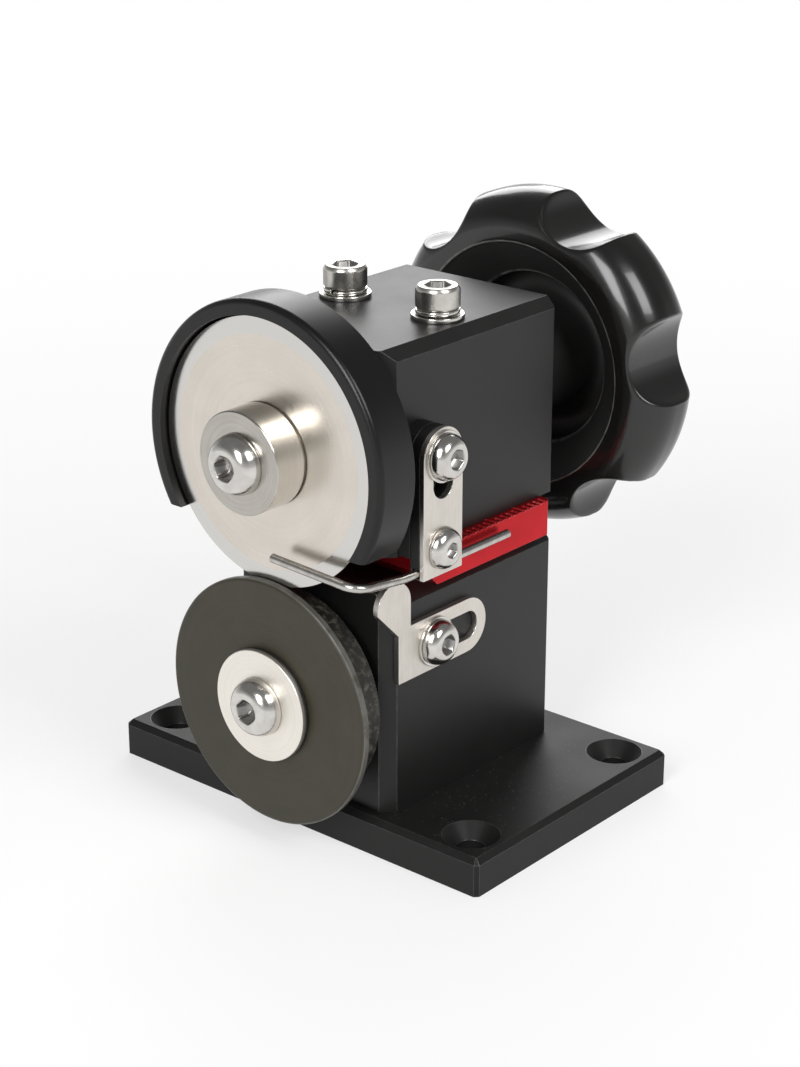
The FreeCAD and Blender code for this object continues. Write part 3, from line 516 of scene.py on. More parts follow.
def grow(tree, seeds, **inputs):
    """Run a Geometry Nodes tree on a seed mesh with named inputs, and give the plain mesh."""
    carrier = bpy.data.objects.new("carrier", seeds)
    bpy.context.scene.collection.objects.link(carrier)
    modifier = carrier.modifiers.new("grow", "NODES")
    modifier.node_group = tree
    for item in tree.interface.items_tree:
        if item.name in inputs:
            modifier[item.identifier] = inputs[item.name]
    depsgraph = bpy.context.evaluated_depsgraph_get()
    mesh = bpy.data.meshes.new_from_object(carrier.evaluated_get(depsgraph))
    bpy.data.objects.remove(carrier)
    return mesh


def new_tree(name, sockets):
    """Geometry Nodes tree with named inputs. Gives its start tone and the inputs as tones."""
    tree = bpy.data.node_groups.new(name, "GeometryNodeTree")
    tree.interface.new_socket("Geometry", in_out="INPUT", socket_type="NodeSocketGeometry")
    for label, kind in sockets.items():
        tree.interface.new_socket(label, in_out="INPUT", socket_type="NodeSocket" + kind)
    tree.interface.new_socket("Geometry", in_out="OUTPUT", socket_type="NodeSocketGeometry")
    start = Tone(tree)
    source = tree.nodes.new("NodeGroupInput")
    return tree, start, {socket.name: Tone(tree, socket) for socket in source.outputs}


def end_tree(start, geometry, finish):
    """Close a tree with real geometry in its finish."""
    real = start.node("GeometryNodeRealizeInstances", {}, {"Geometry": geometry})
    dressed = start.node("GeometryNodeSetMaterial", {}, {"Geometry": real, "Material": finish})
    sink = start.tree.nodes.new("NodeGroupOutput")
    start.tree.links.new(dressed.socket, sink.inputs[0])


def points_at(places):
    mesh = bpy.data.meshes.new("places")
    mesh.from_pydata([Vector(place) * MM for place in places], [], [])
    return mesh


ball_tree, start, given = new_tree("bearing_balls", {"Balls": "Int", "Ring": "Float",
                                                     "Ball": "Float", "Finish": "Material"})
circle = start.node("GeometryNodeMeshCircle", {}, {"Vertices": given["Balls"],
                                                   "Radius": given["Ring"]})
ring_turned = start.node("GeometryNodeTransform", {}, {"Geometry": circle,
                                                       "Rotation": (math.pi / 2, 0, 0)})
ball = start.node("GeometryNodeMeshUVSphere", {}, {"Segments": 20, "Rings": 12,
                                                   "Radius": given["Ball"]})
one_row = start.node("GeometryNodeInstanceOnPoints", {}, {"Points": ring_turned,
                                                          "Instance": ball})
rows = start.node("GeometryNodeInstanceOnPoints", {}, {"Points": given["Geometry"],
                                                       "Instance": one_row})
end_tree(start, rows, given["Finish"])
ball_places = [(AXIS_X, race + RACE_WIDTH / 2, height) for height in (SPINDLE_Z, AXLE_Z)
               for race in RACE_STARTS]
settle("bearing_ball_rows", smooth(grow(ball_tree, points_at(ball_places), Balls=BALLS,
                                        Ring=BALL_CIRCLE * MM, Ball=BALL_RADIUS * MM,
                                        Finish=bearing_steel)),
       [], "frame", ["bearing_balls"])


def split_ring(inner, outer, low, high, gap, lift=0.0, lug=0.0):
    """Open ring about Z with its gap at +Y. Lift raises one end and a lug thickens both."""
    solid = bmesh.new()
    sections = []
    steps = 120
    rim = 0.12
    for step in range(steps + 1):
        share = step / steps
        angle = math.pi / 2 + gap / 2 + share * (2 * math.pi - gap)
        near_end = max(0.0, 1 - min(share, 1 - share) * 16)
        depth = inner - lug * math.sin(near_end * math.pi / 2)
        rise = lift * (share - 0.5)
        corners = [(depth, low + rim), (depth + rim, low), (outer - rim, low),
                   (outer, low + rim), (outer, high - rim), (outer - rim, high),
                   (depth + rim, high), (depth, high - rim)]
        sections.append([solid.verts.new((r * math.cos(angle) * MM, r * math.sin(angle) * MM,
                                          (z + rise) * MM)) for r, z in corners])
    for near, far in zip(sections, sections[1:]):
        for corner in range(8):
            after = (corner + 1) % 8
            solid.faces.new((near[corner], near[after], far[after], far[corner]))
    solid.faces.new(sections[0])
    solid.faces.new(sections[-1])
    bmesh.ops.recalc_face_normals(solid, faces=solid.faces)
    mesh = bpy.data.meshes.new("split_ring")
    solid.to_mesh(mesh)
    solid.free()
    return mesh


bore_clips = []
for height in (SPINDLE_Z, AXLE_Z):
    for low in (RACE_STARTS[0] - CLIP_WIDTH, RACE_STARTS[1] + RACE_WIDTH):
        clip = split_ring(12.45, 14.62, low, low + CLIP_WIDTH, 0.5, lug=1.4)
        clip.transform(Matrix.Rotation(math.pi, 4, "Z"))
        bore_clips.append(on_wheel(clip, height))
settle("bore_circlips", joined(bore_clips), [circlip_steel], "frame",
       ["bearing_circlips"])


# ---- Roller axle and lower wheels --------------------------------------------------------
# Turned steel axle carrying, from the back, the knurled feed roller, a smaller ring that
# leaves the blade's groove, the lower disc, its spacer and washer, all held by one screw.
ROLLER_REAR = -36.6
ROLLER_FRONT = -43.95
DISC_REAR = -45.65
DISC_FRONT = -47.4
SPACER_FRONT = -48.4
WASHER_FRONT = -49.6
WASHER_RADIUS = 13.0
CLIP_SEAT = 23.6
CLIP_END = 24.8
CLIP_FLOOR = 5.65
AXLE_NOSE = -47.1
AXLE_END = 26.2
ROLLER_SIDE = 23.6
ROLLER_RADIUS = 24.7
KNURL_DEPTH = 0.20
DISC_RADIUS = 28.9
M8_HOLE = 4.3
axle_steel = turned_finish("axle_steel", AXLE_Z, (0.40, 0.39, 0.37, 1), (0.50, 0.49, 0.47, 1))


def disc_look(start):
    radius, marks = spun(start, AXLE_Z)
    mottle = start.noise(150, 3.0)
    plain = (marks * 0.6 + mottle * 0.4).ramp(0.3, 0.7).blend((0.026, 0.0225, 0.013, 1),
                                                              (0.037, 0.032, 0.0195, 1))
    # painted highlight: a lighter, less rough thin line round the disc's rim
    rubbed = radius.ramp(0.02862, 0.02872) * start.noise(300, 3.0).ramp(0.2, 0.6)
    return {"Base Color": rubbed.blend(plain, (0.10, 0.095, 0.085, 1)),
            "Roughness": 0.42 + marks * 0.12 - rubbed * 0.12,
            "Normal": marks.bump(0.35, 0.00003)}


def lint_caught(start):
    """Black oxide with pale leather lint packed into the knurl."""
    lint = start.noise(700, 5.0, roughness=0.7).ramp(0.46, 0.70) * start.noise(90, 2.0)
    return {"Base Color": lint.blend((0.016, 0.0145, 0.012, 1), (0.20, 0.18, 0.145, 1)),
            "Roughness": 0.5 + lint * 0.4,
            "Normal": start.noise(1500, 4.0).bump(0.5, 0.00010)}


blackened = make_finish("blackened_disc", {"Specular IOR Level": 0.42}, disc_look)
linty = make_finish("linty_roller", {"Specular IOR Level": 0.4}, lint_caught)
gloss_black = turned_finish("gloss_black_spacer", AXLE_Z, (0.012, 0.012, 0.012, 1),
                            (0.018, 0.018, 0.017, 1), 0.14, 0.00001,
                            {"Metallic": 0.0, "Specular IOR Level": 0.7})
pale_washer = turned_finish("satin_washer", AXLE_Z, (0.88, 0.84, 0.77, 1),
                            (0.83, 0.79, 0.725, 1), 0.34, 0.00001)

axle = [(0, AXLE_NOSE), (JOURNAL, AXLE_NOSE, 0.3), (JOURNAL, ROLLER_REAR, 0.1),
        (SHOULDER, ROLLER_REAR, 0.1), (SHOULDER, RACE_STARTS[0], 0.1),
        (JOURNAL, RACE_STARTS[0], 0.1), (JOURNAL, CLIP_SEAT, 0.05),
        (CLIP_FLOOR, CLIP_SEAT), (CLIP_FLOOR, CLIP_END), (JOURNAL, CLIP_END, 0.05),
        (JOURNAL, AXLE_END, 0.4), (1.6, AXLE_END, 0.1), (0, 25.2)]
settle("roller_shaft", on_wheel(lathe(axle), AXLE_Z), [axle_steel], "roller",
       ["roller_axle"])


def knurled(radius, angle, step, mark):
    return radius - (KNURL_DEPTH if mark == "knurl" and step % 2 else 0.0)


roller_profile = [(BORE, ROLLER_FRONT), (ROLLER_SIDE, ROLLER_FRONT, 0.2),
                  (24.5, -43.55, 0.0, "knurl"), (ROLLER_RADIUS, -43.3, 0.0, "knurl"),
                  (ROLLER_RADIUS, -37.25, 0.0, "knurl"), (24.5, -37.0, 0.0, "knurl"),
                  (ROLLER_SIDE, ROLLER_REAR, 0.2), (BORE, ROLLER_REAR)]
settle("knurled_feed_roller", on_wheel(lathe(roller_profile, 360, knurled), AXLE_Z),
       [linty], "roller", ["feed_roller"])
groove_profile = band(BORE, 24.0, DISC_REAR, ROLLER_FRONT, 0.1)
settle("groove_spacer_ring", on_wheel(lathe(groove_profile), AXLE_Z), [blackened], "roller",
       ["groove_ring"])
disc_profile = [(BORE, DISC_FRONT), (28.3, DISC_FRONT, 0.12), (DISC_RADIUS, -46.98, 0.12),
                (DISC_RADIUS, DISC_REAR, 0.06), (BORE, DISC_REAR)]
settle("lower_shear_disc", on_wheel(lathe(disc_profile, 288), AXLE_Z), [blackened],
       "roller", ["lower_disc"])
spacer_profile = band(M8_HOLE, WASHER_RADIUS, SPACER_FRONT, DISC_FRONT, 0.15)
settle("gloss_spacer", on_wheel(lathe(spacer_profile), AXLE_Z), [gloss_black], "roller",
       ["disc_spacer"])
washer_profile = band(M8_HOLE, WASHER_RADIUS, WASHER_FRONT, SPACER_FRONT, 0.25)
settle("pale_washer", on_wheel(lathe(washer_profile), AXLE_Z), [pale_washer], "roller",
       ["disc_washer"])
axle_clip = split_ring(5.7, 7.85, CLIP_SEAT, CLIP_END, 0.9)
settle("shaft_circlip", on_wheel(axle_clip, AXLE_Z), [circlip_steel], "roller",
       ["axle_circlip"])

BUTTON_SIZES = {  # thread radius, head radius, head height, across flats, socket depth
    "M8": (4.0, 6.8, 4.4, 5.0, 2.6), "M6": (3.0, 5.25, 3.3, 4.0, 2.1),
    "M5": (2.5, 4.75, 2.75, 3.0, 1.6), "M4": (2.0, 3.8, 2.2, 2.5, 1.3)}


def hex_or_knurl(radius, angle, step, mark):
    """Radius of a ring in a screw: a hexagon by its half width, a knurl or plainly round."""
    if mark == "hex":
        sixth = math.pi / 3
        return radius / math.cos((angle + sixth / 2) % sixth - sixth / 2)
    return knurled(radius, angle, step, mark)


def socket_corners(flats, top, depth):
    corner = flats / math.sqrt(3)
    return [(corner + 0.15, top, 0.0), (flats / 2, top - 0.25, 0.0, "hex"),
            (flats / 2, top - depth, 0.0, "hex"), (0, top - depth - flats * 0.12, 0.0, "hex")]


def button_screw(size, length):
    """Dome-headed screw about Z, its head standing on height 0."""
    thread, head, height, flats, depth = BUTTON_SIZES[size]
    crown = flats / math.sqrt(3) + 0.5
    corners = [(0, -length), (thread - 0.5, -length), (thread, 0.5 - length), (thread, 0)]
    corners += [(head - 0.15, 0), (head, 0.12)]
    for step in range(1, 9):
        turn = step / 9 * math.pi / 2
        corners.append((crown + (head - crown) * math.cos(turn), height * math.sin(turn)))
    corners.append((crown, height))
    return smooth(lathe(corners + socket_corners(flats, height, depth), 96, hex_or_knurl))


def make_fastener_tree():
    """Tree that stands a fastener on each seed point, head outward, each turned at random."""
    tree, start, given = new_tree("fasteners", {"Fastener": "Object", "Outward": "Vector",
                                                "Seed": "Int", "Finish": "Material"})
    shape = start.node("GeometryNodeObjectInfo", {}, {"Object": given["Fastener"]}, "Geometry")
    aligned = start.node("FunctionNodeAlignRotationToVector", {"axis": "Z"},
                         {"Vector": given["Outward"]})
    turn = start.node("FunctionNodeRandomValue", {"data_type": "FLOAT"},
                      {2: 0.0, 3: 2 * math.pi, "Seed": given["Seed"]}, 1)
    spin = start.node("FunctionNodeAxisAngleToRotation", {}, {"Axis": (0, 0, 1), "Angle": turn})
    facing = start.node("FunctionNodeRotateRotation", {"rotation_space": "LOCAL"},
                        {0: aligned, 1: spin})
    stood = start.node("GeometryNodeInstanceOnPoints", {}, {
        "Points": given["Geometry"], "Instance": shape, "Rotation": facing})
    end_tree(start, stood, given["Finish"])
    return tree


fastener_tree = make_fastener_tree()


def fasten(name, shape, places, outward, finish, body, nodes, seed=1):
    """Stand copies of a screw or washer on the places and settle them as one piece."""
    pattern = bpy.data.objects.new("pattern", shape)
    bpy.context.scene.collection.objects.link(pattern)
    mesh = grow(fastener_tree, points_at(places), Fastener=pattern, Outward=outward, Seed=seed,
                Finish=finish)
    bpy.data.objects.remove(pattern)
    return settle(name, smooth(mesh), [], body, nodes)


FRONT, REAR, RIGHT, UP = (0, -1, 0), (0, 1, 0), (1, 0, 0), (0, 0, 1)
fasten("disc_button_screw", button_screw("M8", 16), [(AXIS_X, WASHER_FRONT, AXLE_Z)], FRONT,
       bright_stainless, "roller", ["disc_screw"], 4)


# ---- Graduated fence slide ---------------------------------------------------------------
# Red anodised aluminium bar between the blocks, slotted for the clamp screws. A rule of fine
# grooves is cut along its top right edge, every fifth one longer.
red_anodised = make_finish("red_anodised", {"Metallic": 0.85, "Specular IOR Level": 0.5},
                           lambda start: {
                               "Base Color": start.noise(120, 3.0).ramp(0.3, 0.7).blend(
                                   (0.50, 0.008, 0.014, 1), (0.58, 0.011, 0.018, 1)),
                               "Roughness": 0.34 + start.noise(200, 2.0) * 0.08,
                               "Normal": start.noise(4200, 2.0).bump(0.3, 0.00002)})
red_edge = make_finish("red_rubbed_edge", {"Metallic": 0.6, "Specular IOR Level": 0.7},
                       lambda start: {
                           "Base Color": start.noise(420, 3.0).ramp(0.35, 0.7).blend(
                               (0.56, 0.020, 0.030, 1), (0.66, 0.10, 0.10, 1)),
                           "Roughness": 0.3 + start.noise(300, 2.0) * 0.08})
settle("fence_bar", welded("fence_slide"), [red_anodised, red_edge], "fence",
       ["fence_slide"], 0.12)


# ---- Blade spindle and guard -------------------------------------------------------------
# The spindle is turned steel with a flange behind the blade. The guard is an aluminium cup
# screwed to the block's face by four button screws, cut away below for the leather.
FLANGE_RADIUS = 12.0
FLANGE_REAR = -39.2
BLADE_REAR = -44.25
BLADE_FRONT = -45.65
HUB_FRONT = -54.25
SPINDLE_NOSE = -49.15
SPINDLE_END = 57.3
spindle_steel = turned_finish("spindle_steel", SPINDLE_Z, (0.40, 0.39, 0.37, 1),
                              (0.50, 0.49, 0.47, 1))
spindle = [(0, SPINDLE_NOSE), (JOURNAL, SPINDLE_NOSE), (JOURNAL, BLADE_REAR),
           (FLANGE_RADIUS, BLADE_REAR, 0.2), (FLANGE_RADIUS, FLANGE_REAR, 0.2),
           (SHOULDER, FLANGE_REAR, 0.1), (SHOULDER, RACE_STARTS[0], 0.1),
           (JOURNAL, RACE_STARTS[0], 0.1), (JOURNAL, SPINDLE_END, 0.3), (0, SPINDLE_END)]
settle("blade_shaft", on_wheel(lathe(spindle), SPINDLE_Z), [spindle_steel], "spindle",
       ["blade_spindle"])
guard_black = make_finish("guard_black", {"Specular IOR Level": 0.34},
                          lambda start: anodised(start, 0.00002, 0.20, 0.24, 0.006))
settle("guard_cup", welded("blade_guard"), [guard_black, rubbed_edge], "frame",
       ["blade_guard"], 0.2)
GUARD_SCREW_CIRCLE = 19.0
GUARD_SCREW_SEAT = -38.6
guard_places = [(AXIS_X + GUARD_SCREW_CIRCLE * math.cos(math.radians(turn)), GUARD_SCREW_SEAT,
                 SPINDLE_Z + GUARD_SCREW_CIRCLE * math.sin(math.radians(turn)))
                for turn in (45, 135, 225, 315)]
fasten("guard_button_screws", button_screw("M4", 10), guard_places, FRONT, bright_stainless,
       "frame", ["guard_screws"], 7)


# ---- Round blade and hub -----------------------------------------------------------------
# Ground stainless disc with a bevel on each face, clamped to the flange by a turned steel
# hub and a single button screw. The grinder leaves fine rings on both.
def blade_look(start):
    radius, marks = spun(start, SPINDLE_Z, 5200.0)
    coarse = spun(start, SPINDLE_Z, 900.0)[1]
    mottle = start.noise(90, 3.0)
    on_bevel = radius.ramp(0.02605, 0.02625)
    plain = (coarse * 0.4 + mottle * 0.6).ramp(0.3, 0.7).blend((0.72, 0.665, 0.60, 1),
                                                               (0.66, 0.61, 0.55, 1))
    return {"Base Color": on_bevel.blend(plain, (0.645, 0.63, 0.605, 1)),
            "Roughness": 0.24 + marks * 0.10 - on_bevel * 0.10,
            "Normal": marks.bump(0.35, 0.000015)}


blade_steel = make_finish("ground_blade", METAL, blade_look)
BEVEL_START = 26.15
blade = [(BORE, BLADE_REAR), (BEVEL_START, BLADE_REAR, 0.1), (29.98, -45.05, 0.03),
         (30.0, -45.25, 0.03), (BEVEL_START, BLADE_FRONT, 0.05), (BORE, BLADE_FRONT)]
settle("ground_round_blade", on_wheel(lathe(blade, 360), SPINDLE_Z), [blade_steel], "spindle",
       ["round_blade"])
hub_steel = turned_finish("hub_steel", SPINDLE_Z, (0.50, 0.48, 0.44, 1), (0.43, 0.41, 0.375, 1),
                          0.14, 0.000015)
# painted light: the hub's side is a lighter copy of the face's steel
hub_painted_lit_side = turned_finish("hub_painted_lit_side", SPINDLE_Z, (0.74, 0.72, 0.67, 1), (0.66, 0.64, 0.60, 1),
                         0.12, 0.00001)
HUB_RADIUS = 11.5
RELIEF_RADIUS = 10.9
RELIEF_END = -46.15
HUB_STEP = -49.17
hub = [(BORE, BLADE_FRONT), (RELIEF_RADIUS, BLADE_FRONT, 0.05),
       (RELIEF_RADIUS, RELIEF_END, 0.05), (HUB_RADIUS, RELIEF_END, 0.1),
       (HUB_RADIUS, HUB_FRONT, 0.4), (M8_HOLE, HUB_FRONT, 0.2), (M8_HOLE, HUB_STEP),
       (BORE, HUB_STEP)]
hub_mesh = on_wheel(lathe(hub, 192), SPINDLE_Z)
settle("clamp_hub", hub_mesh, [hub_steel, hub_painted_lit_side], "spindle", ["blade_hub"])
# Faces round the side take the lighter copy, painted light.
for face in hub_mesh.polygons:
    face.material_index = 1 if abs(face.normal.y) < 0.5 else 0
fasten("hub_button_screw", button_screw("M8", 20), [(AXIS_X, HUB_FRONT, SPINDLE_Z)], FRONT,
       bright_stainless, "spindle", ["blade_hub_screw"], 2)


# ---- Clamp screws ------------------------------------------------------------------------
# Two stainless cap screws with knurled heads clamp the upper block down on the fence. Each
# stands on a spring washer and a flat washer.
CAP_STEPS = 96
cap_stainless = make_finish("cap_stainless", METAL, lambda start: polished(
    start, (0.64, 0.62, 0.58, 1), (0.56, 0.54, 0.50, 1), 0.24))


def cap_screw():
    """Cap-headed screw about Z, its knurled head standing on height 0."""
    corners = [(0, -70), (2.5, -70), (3, -69.5), (3, 0), (4.75, 0), (4.92, 0.3),
               (5.0, 0.55, 0.0, "knurl"), (5.0, 4.0, 0.0, "knurl"), (4.86, 4.3),
               (4.5, 4.85, 0.1), (4.35, 5.0, 0.08)]
    return smooth(lathe(corners + socket_corners(5.0, 5.0, 2.6), CAP_STEPS, hex_or_knurl))


CLAMP_Y = -4.8
CLAMP_XS = (-9.75, 17.25)
UPPER_TOP = 117.2
CLAMP_SEAT = 119.6
CLAMP_WASHER = 1.1
M6_HOLE = 3.3
fasten("clamp_cap_screws", cap_screw(), [(x, CLAMP_Y, CLAMP_SEAT) for x in CLAMP_XS], UP,
       cap_stainless, "frame", ["clamp_screws"], 3)
fasten("clamp_spring_rings", split_ring(M6_HOLE, 5.08, 0.2, 1.1, 0.14, lift=0.35),
       [(x, CLAMP_Y, UPPER_TOP + CLAMP_WASHER) for x in CLAMP_XS], UP, bright_stainless, "frame",
       ["clamp_spring_washers"], 5)
fasten("clamp_flat_rings", smooth(lathe(band(M6_HOLE, 6.0, 0, CLAMP_WASHER, 0.2), 96)),
       [(x, CLAMP_Y, UPPER_TOP) for x in CLAMP_XS], UP, bright_stainless, "frame",
       ["clamp_flat_washers"], 6)


# ---- Hand knob ---------------------------------------------------------------------------
# Moulded black plastic with six finger scallops round a deep hollow. A steel insert is
# moulded in, kept on the spindle by a grub screw, and by a button screw from behind.
KNOB_FRONT = 40.0
KNOB_BACK = 60.5
KNOB_RADIUS = 41.0
KNOB_HUB = 13.0
COLLAR_END = 27.0
INSERT_BACK = 58.3
INSERT_RADIUS = 9.5
KNOB_SEAT = 59.9
SCALLOP_CIRCLE = 44.7
SCALLOP_RADIUS = 11.2
SCALLOP_TURN = math.radians(21)
SCALLOP_BLEND = 1.6


def scalloped(radius, angle, step, mark):
    """Radius cut back by the nearest scallop, with the edge between them rolled over."""
    pitch = math.pi / 3
    offset = (angle + math.pi / 2 - SCALLOP_TURN + pitch / 2) % pitch - pitch / 2
    aside = SCALLOP_CIRCLE * math.sin(offset)
    if abs(aside) >= SCALLOP_RADIUS:
        return radius
    wall = SCALLOP_CIRCLE * math.cos(offset) - math.sqrt(SCALLOP_RADIUS ** 2 - aside ** 2)
    overlap = max(SCALLOP_BLEND - abs(radius - wall), 0) / SCALLOP_BLEND
    return min(radius, wall) - overlap ** 2 * SCALLOP_BLEND / 4


def quarter(centre, size, turns):
    """Points of a quarter ellipse in the profile, between two directions in degrees."""
    spots = []
    for turn in turns:
        angle = math.radians(turn)
        spots.append((centre[0] + size[0] * math.cos(angle),
                      centre[1] + size[1] * math.sin(angle)))
    return spots


# Rings marked edge carry the mask for the knob finish's painted highlight lines.
knob = [(9.52, 29.0), (KNOB_HUB, 29.0, 0.8), (KNOB_HUB, 54.0), (20.6, 54.0),
        (20.9, 47.9, 0.35, "edge"), (29.3, 40.5, 0.4), (29.6, KNOB_FRONT, 0.25, "edge")]
knob += [(30.6, KNOB_FRONT), (32.0, KNOB_FRONT)]
knob += quarter((32.0, 50.0), (9.0, 10.0), range(-86, 1, 4))
knob += [(KNOB_RADIUS, 51.0), (KNOB_RADIUS, 52.0)]
knob += quarter((33.0, 52.0), (8.0, 8.5), range(4, 91, 4))
knob += [(12.0, KNOB_BACK, 0.4), (12.0, INSERT_BACK, 0.2), (9.52, INSERT_BACK)]


def moulded(start):
    radius = spun(start, SPINDLE_Z)[0]
    outside = radius.ramp(0.0288, 0.0296)
    clouds = start.noise(60, 3.0).ramp(0.3, 0.7)
    # painted highlight: lighter, broken thin lines on the rings marked edge round the hollow
    rubbed = start.mark("rubbed").ramp(0.93, 1.0) * start.noise(260, 3.0).ramp(0.30, 0.60)
    plain = clouds.blend((0.0045, 0.0042, 0.004, 1), (0.007, 0.0065, 0.006, 1))
    return {"Base Color": rubbed.blend(plain, (0.11, 0.11, 0.105, 1)),
            "Roughness": 0.55 - outside * 0.37 + start.noise(130, 3.0) * 0.10,
            "Coat Weight": outside * (0.25 + start.noise(90, 2.0) * 0.20),
            "Normal": start.noise(700, 3.0).bump(0.10, 0.00003)}


moulded_black = make_finish("moulded_black", {"Specular IOR Level": 0.45, "Coat Roughness": 0.05},
                            moulded)
settle("scalloped_knob", on_wheel(lathe(knob, 720, scalloped), SPINDLE_Z), [moulded_black],
       "spindle", ["hand_knob"])
bush_profile = band(BORE, INSERT_RADIUS, COLLAR_END, INSERT_BACK, 0.3)
settle("knob_bush", on_wheel(lathe(bush_profile), SPINDLE_Z),
       [spindle_steel], "spindle", ["knob_insert"])
collar_profile = band(BORE, INSERT_RADIUS, CLIP_SEAT, COLLAR_END, 0.25)
settle("spacing_collar", on_wheel(lathe(collar_profile), SPINDLE_Z),
       [spindle_steel], "spindle", ["rear_collar"])
seat_profile = band(M6_HOLE, 9.0, INSERT_BACK, KNOB_SEAT, 0.25)
settle("knob_flat_washer", on_wheel(lathe(seat_profile), SPINDLE_Z),
       [bright_stainless], "spindle", ["knob_washer"])
fasten("knob_button_screw", button_screw("M6", 16), [(AXIS_X, KNOB_SEAT, SPINDLE_Z)], REAR,
       bright_stainless, "spindle", ["knob_screw"], 9)
grub = [(0, -6.95), (2.0, -6.95, 0.1), (2.5, -6.4, 0.1), (2.5, -0.4, 0.1), (2.1, 0, 0.1)]
fasten("grub_screw", smooth(lathe(grub + socket_corners(2.5, 0, 2.5), 96, hex_or_knurl)),
       [(AXIS_X + KNOB_HUB, 33.0, SPINDLE_Z)], RIGHT, circlip_steel, "spindle",
       ["knob_grub_screw"], 2)


# ---- Guide bracket and wire --------------------------------------------------------------
# A black standoff is screwed to the block's side. On it a stainless plate slides up and down
# on its slot, and a black plate behind it clamps the bent stainless guide wire.
GUIDE_Y = -23.1
GUIDE_TOP = 93.8
STANDOFF_FACE = 30.4
BRACKET_FACE = 34.3
LOCK_SEAT = 34.9
LOCK_WASHER = 0.6
WIRE_SCREW_Z = 72.9
STANDOFF_SCREW_ZS = (78.3, 85.9)
brushed_plate = make_finish("brushed_plate", METAL, lambda start: brushed(
    start, (0.74, 0.70, 0.645, 1), (0.64, 0.605, 0.555, 1), (300, 5200, 260)))
plate_edge = make_finish("plate_edge", METAL, lambda start: polished(
    start, (0.70, 0.68, 0.65, 1), (0.60, 0.58, 0.55, 1)))
settle("side_standoff", welded("guide_standoff"), [black_anodised, rubbed_edge], "frame",
       ["guide_standoff"], 0.2)
settle("wire_clamp_block", welded("wire_clamp_plate"), [black_anodised, rubbed_edge], "bracket",
       ["wire_clamp_plate"], 0.15)
settle("slotted_bracket", welded("guide_bracket"), [brushed_plate, plate_edge], "bracket",
       ["guide_bracket"], 0.12)
sunk = [(0, -10), (1.5, -10), (2.0, -9.5), (2.0, -2.0), (3.9, -0.05, 0.05), (3.85, 0)]
fasten("standoff_sunk_screws", smooth(lathe(sunk + socket_corners(2.5, 0, 1.3), 96,
                                            hex_or_knurl)),
       [(STANDOFF_FACE, GUIDE_Y, height) for height in STANDOFF_SCREW_ZS], RIGHT, circlip_steel,
       "frame", ["standoff_screws"], 8)
lock_washer = smooth(lathe(band(M6_HOLE, 5.8, 0, LOCK_WASHER, 0.15), 96))
fasten("bracket_washer", lock_washer, [(BRACKET_FACE, GUIDE_Y, GUIDE_TOP)], RIGHT,
       bright_stainless, "frame", ["bracket_lock_washer"])
fasten("bracket_button_screw", button_screw("M6", 14), [(LOCK_SEAT, GUIDE_Y, GUIDE_TOP)], RIGHT,
       bright_stainless, "frame", ["bracket_lock_screw"], 11)
fasten("wire_button_screw", button_screw("M5", 3.6), [(BRACKET_FACE, GUIDE_Y, WIRE_SCREW_Z)],
       RIGHT, bright_stainless, "bracket", ["wire_clamp_screw"], 12)


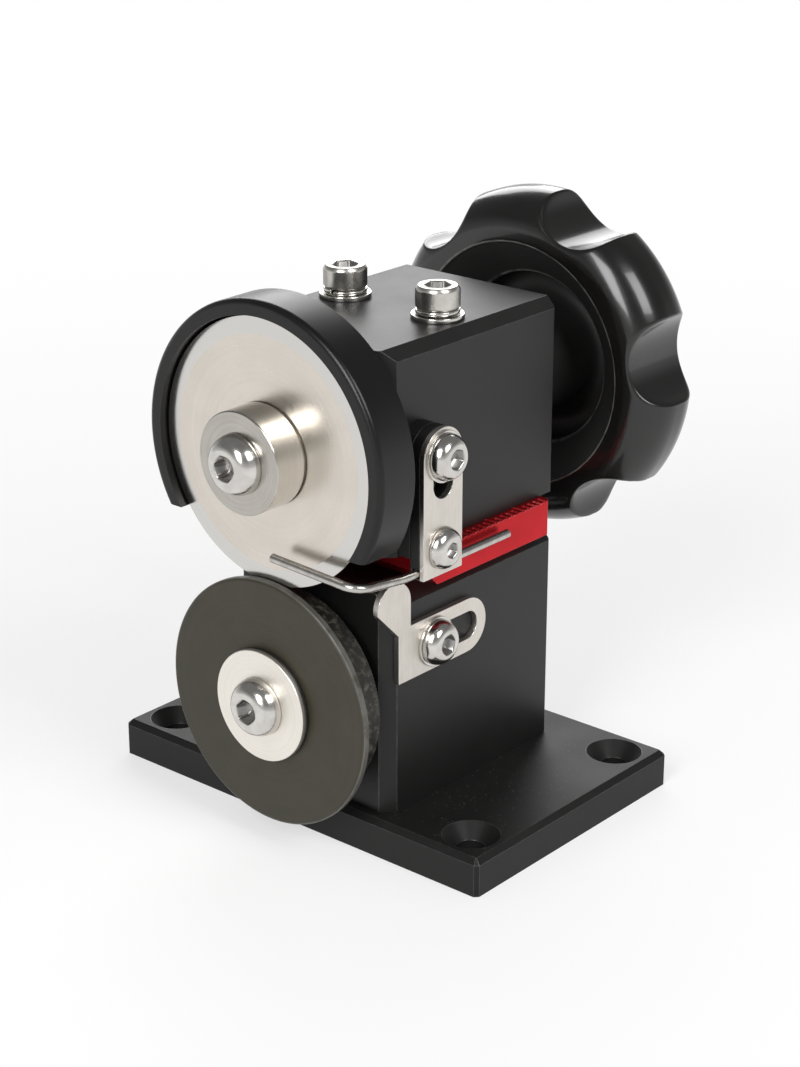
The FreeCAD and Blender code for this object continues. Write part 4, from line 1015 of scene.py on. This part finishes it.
def bent_wire(points, bends, radius):
    """Round wire through straight runs and even bends, its ends broken with a small chamfer."""
    steps = 28
    path = [Vector(points[0])]
    for before, corner, after, bend in zip(points, points[1:], points[2:], bends):
        before, corner, after = Vector(before), Vector(corner), Vector(after)
        into = (corner - before).normalized()
        out = (after - corner).normalized()
        half = into.angle(out) / 2
        first = corner - into * bend * math.tan(half)
        centre = corner + (out - into).normalized() * bend / math.cos(half)
        arm = first - centre
        side = into.cross(out).normalized()
        count = max(4, round(math.degrees(half) / 2.5))
        path += [centre + Matrix.Rotation(2 * half * step / count, 3, side) @ arm
                 for step in range(count + 1)]
    path.append(Vector(points[-1]))
    start_way = (path[1] - path[0]).normalized()
    end_way = (path[-1] - path[-2]).normalized()
    tip = radius * 0.72
    stations = [(path[0], start_way, tip), (path[0] + start_way * 0.25, start_way, radius)]
    for before, here, after in zip(path, path[1:], path[2:]):
        stations.append((here, (after - before).normalized(), radius))
    stations += [(path[-1] - end_way * 0.25, end_way, radius), (path[-1], end_way, tip)]
    solid = bmesh.new()
    rings = []
    for place, way, size in stations:
        across = way.cross(Vector((0.05, 0.02, 1))).normalized()
        up = across.cross(way)
        rings.append([solid.verts.new((place + (across * math.cos(2 * math.pi * step / steps)
                                                + up * math.sin(2 * math.pi * step / steps))
                                       * size) * MM) for step in range(steps)])
    for low, high in zip(rings, rings[1:]):
        for step in range(steps):
            after = (step + 1) % steps
            solid.faces.new((low[step], low[after], high[after], high[step]))
    solid.faces.new(rings[0])
    solid.faces.new(rings[-1])
    bmesh.ops.recalc_face_normals(solid, faces=solid.faces)
    mesh = bpy.data.meshes.new("wire")
    solid.to_mesh(mesh)
    solid.free()
    return smooth(mesh)


wire_steel = make_finish("wire_steel", METAL, lambda start: polished(
    start, (0.56, 0.54, 0.51, 1), (0.46, 0.44, 0.42, 1), 0.22))
WIRE_X = 32.06
WIRE_Z = 68.2
WIRE_ARM_Y = -49.3
wire_points = [(WIRE_X, 2.5, WIRE_Z), (WIRE_X, -33.6, WIRE_Z), (32.86, WIRE_ARM_Y, 70.6),
               (8.26, WIRE_ARM_Y, 71.8)]
settle("bent_guide_wire", bent_wire(wire_points, (15.0, 4.0), 1.0), [wire_steel], "wire",
       ["guide_wire"])


# ---- Lip guide plate ---------------------------------------------------------------------
# Thin stainless plate on the lower block's side. Its round tab keeps the leather's lip beside
# the roller, and it slides on a slot under one button screw.
settle("lip_guide", welded("lip_guide_plate"), [brushed_plate, plate_edge], "lip_guide",
       ["lip_guide_plate"], 0.12)
LIP_SEAT = (28.5, -18.5, 47.8)
LIP_SCREW_SEAT = (29.1, -18.5, 47.8)
fasten("lip_washer", lock_washer, [LIP_SEAT], RIGHT, bright_stainless, "frame",
       ["lip_guide_washer"])
fasten("lip_button_screw", button_screw("M6", 12), [LIP_SCREW_SEAT], RIGHT,
       bright_stainless, "frame", ["lip_guide_screw"], 14)
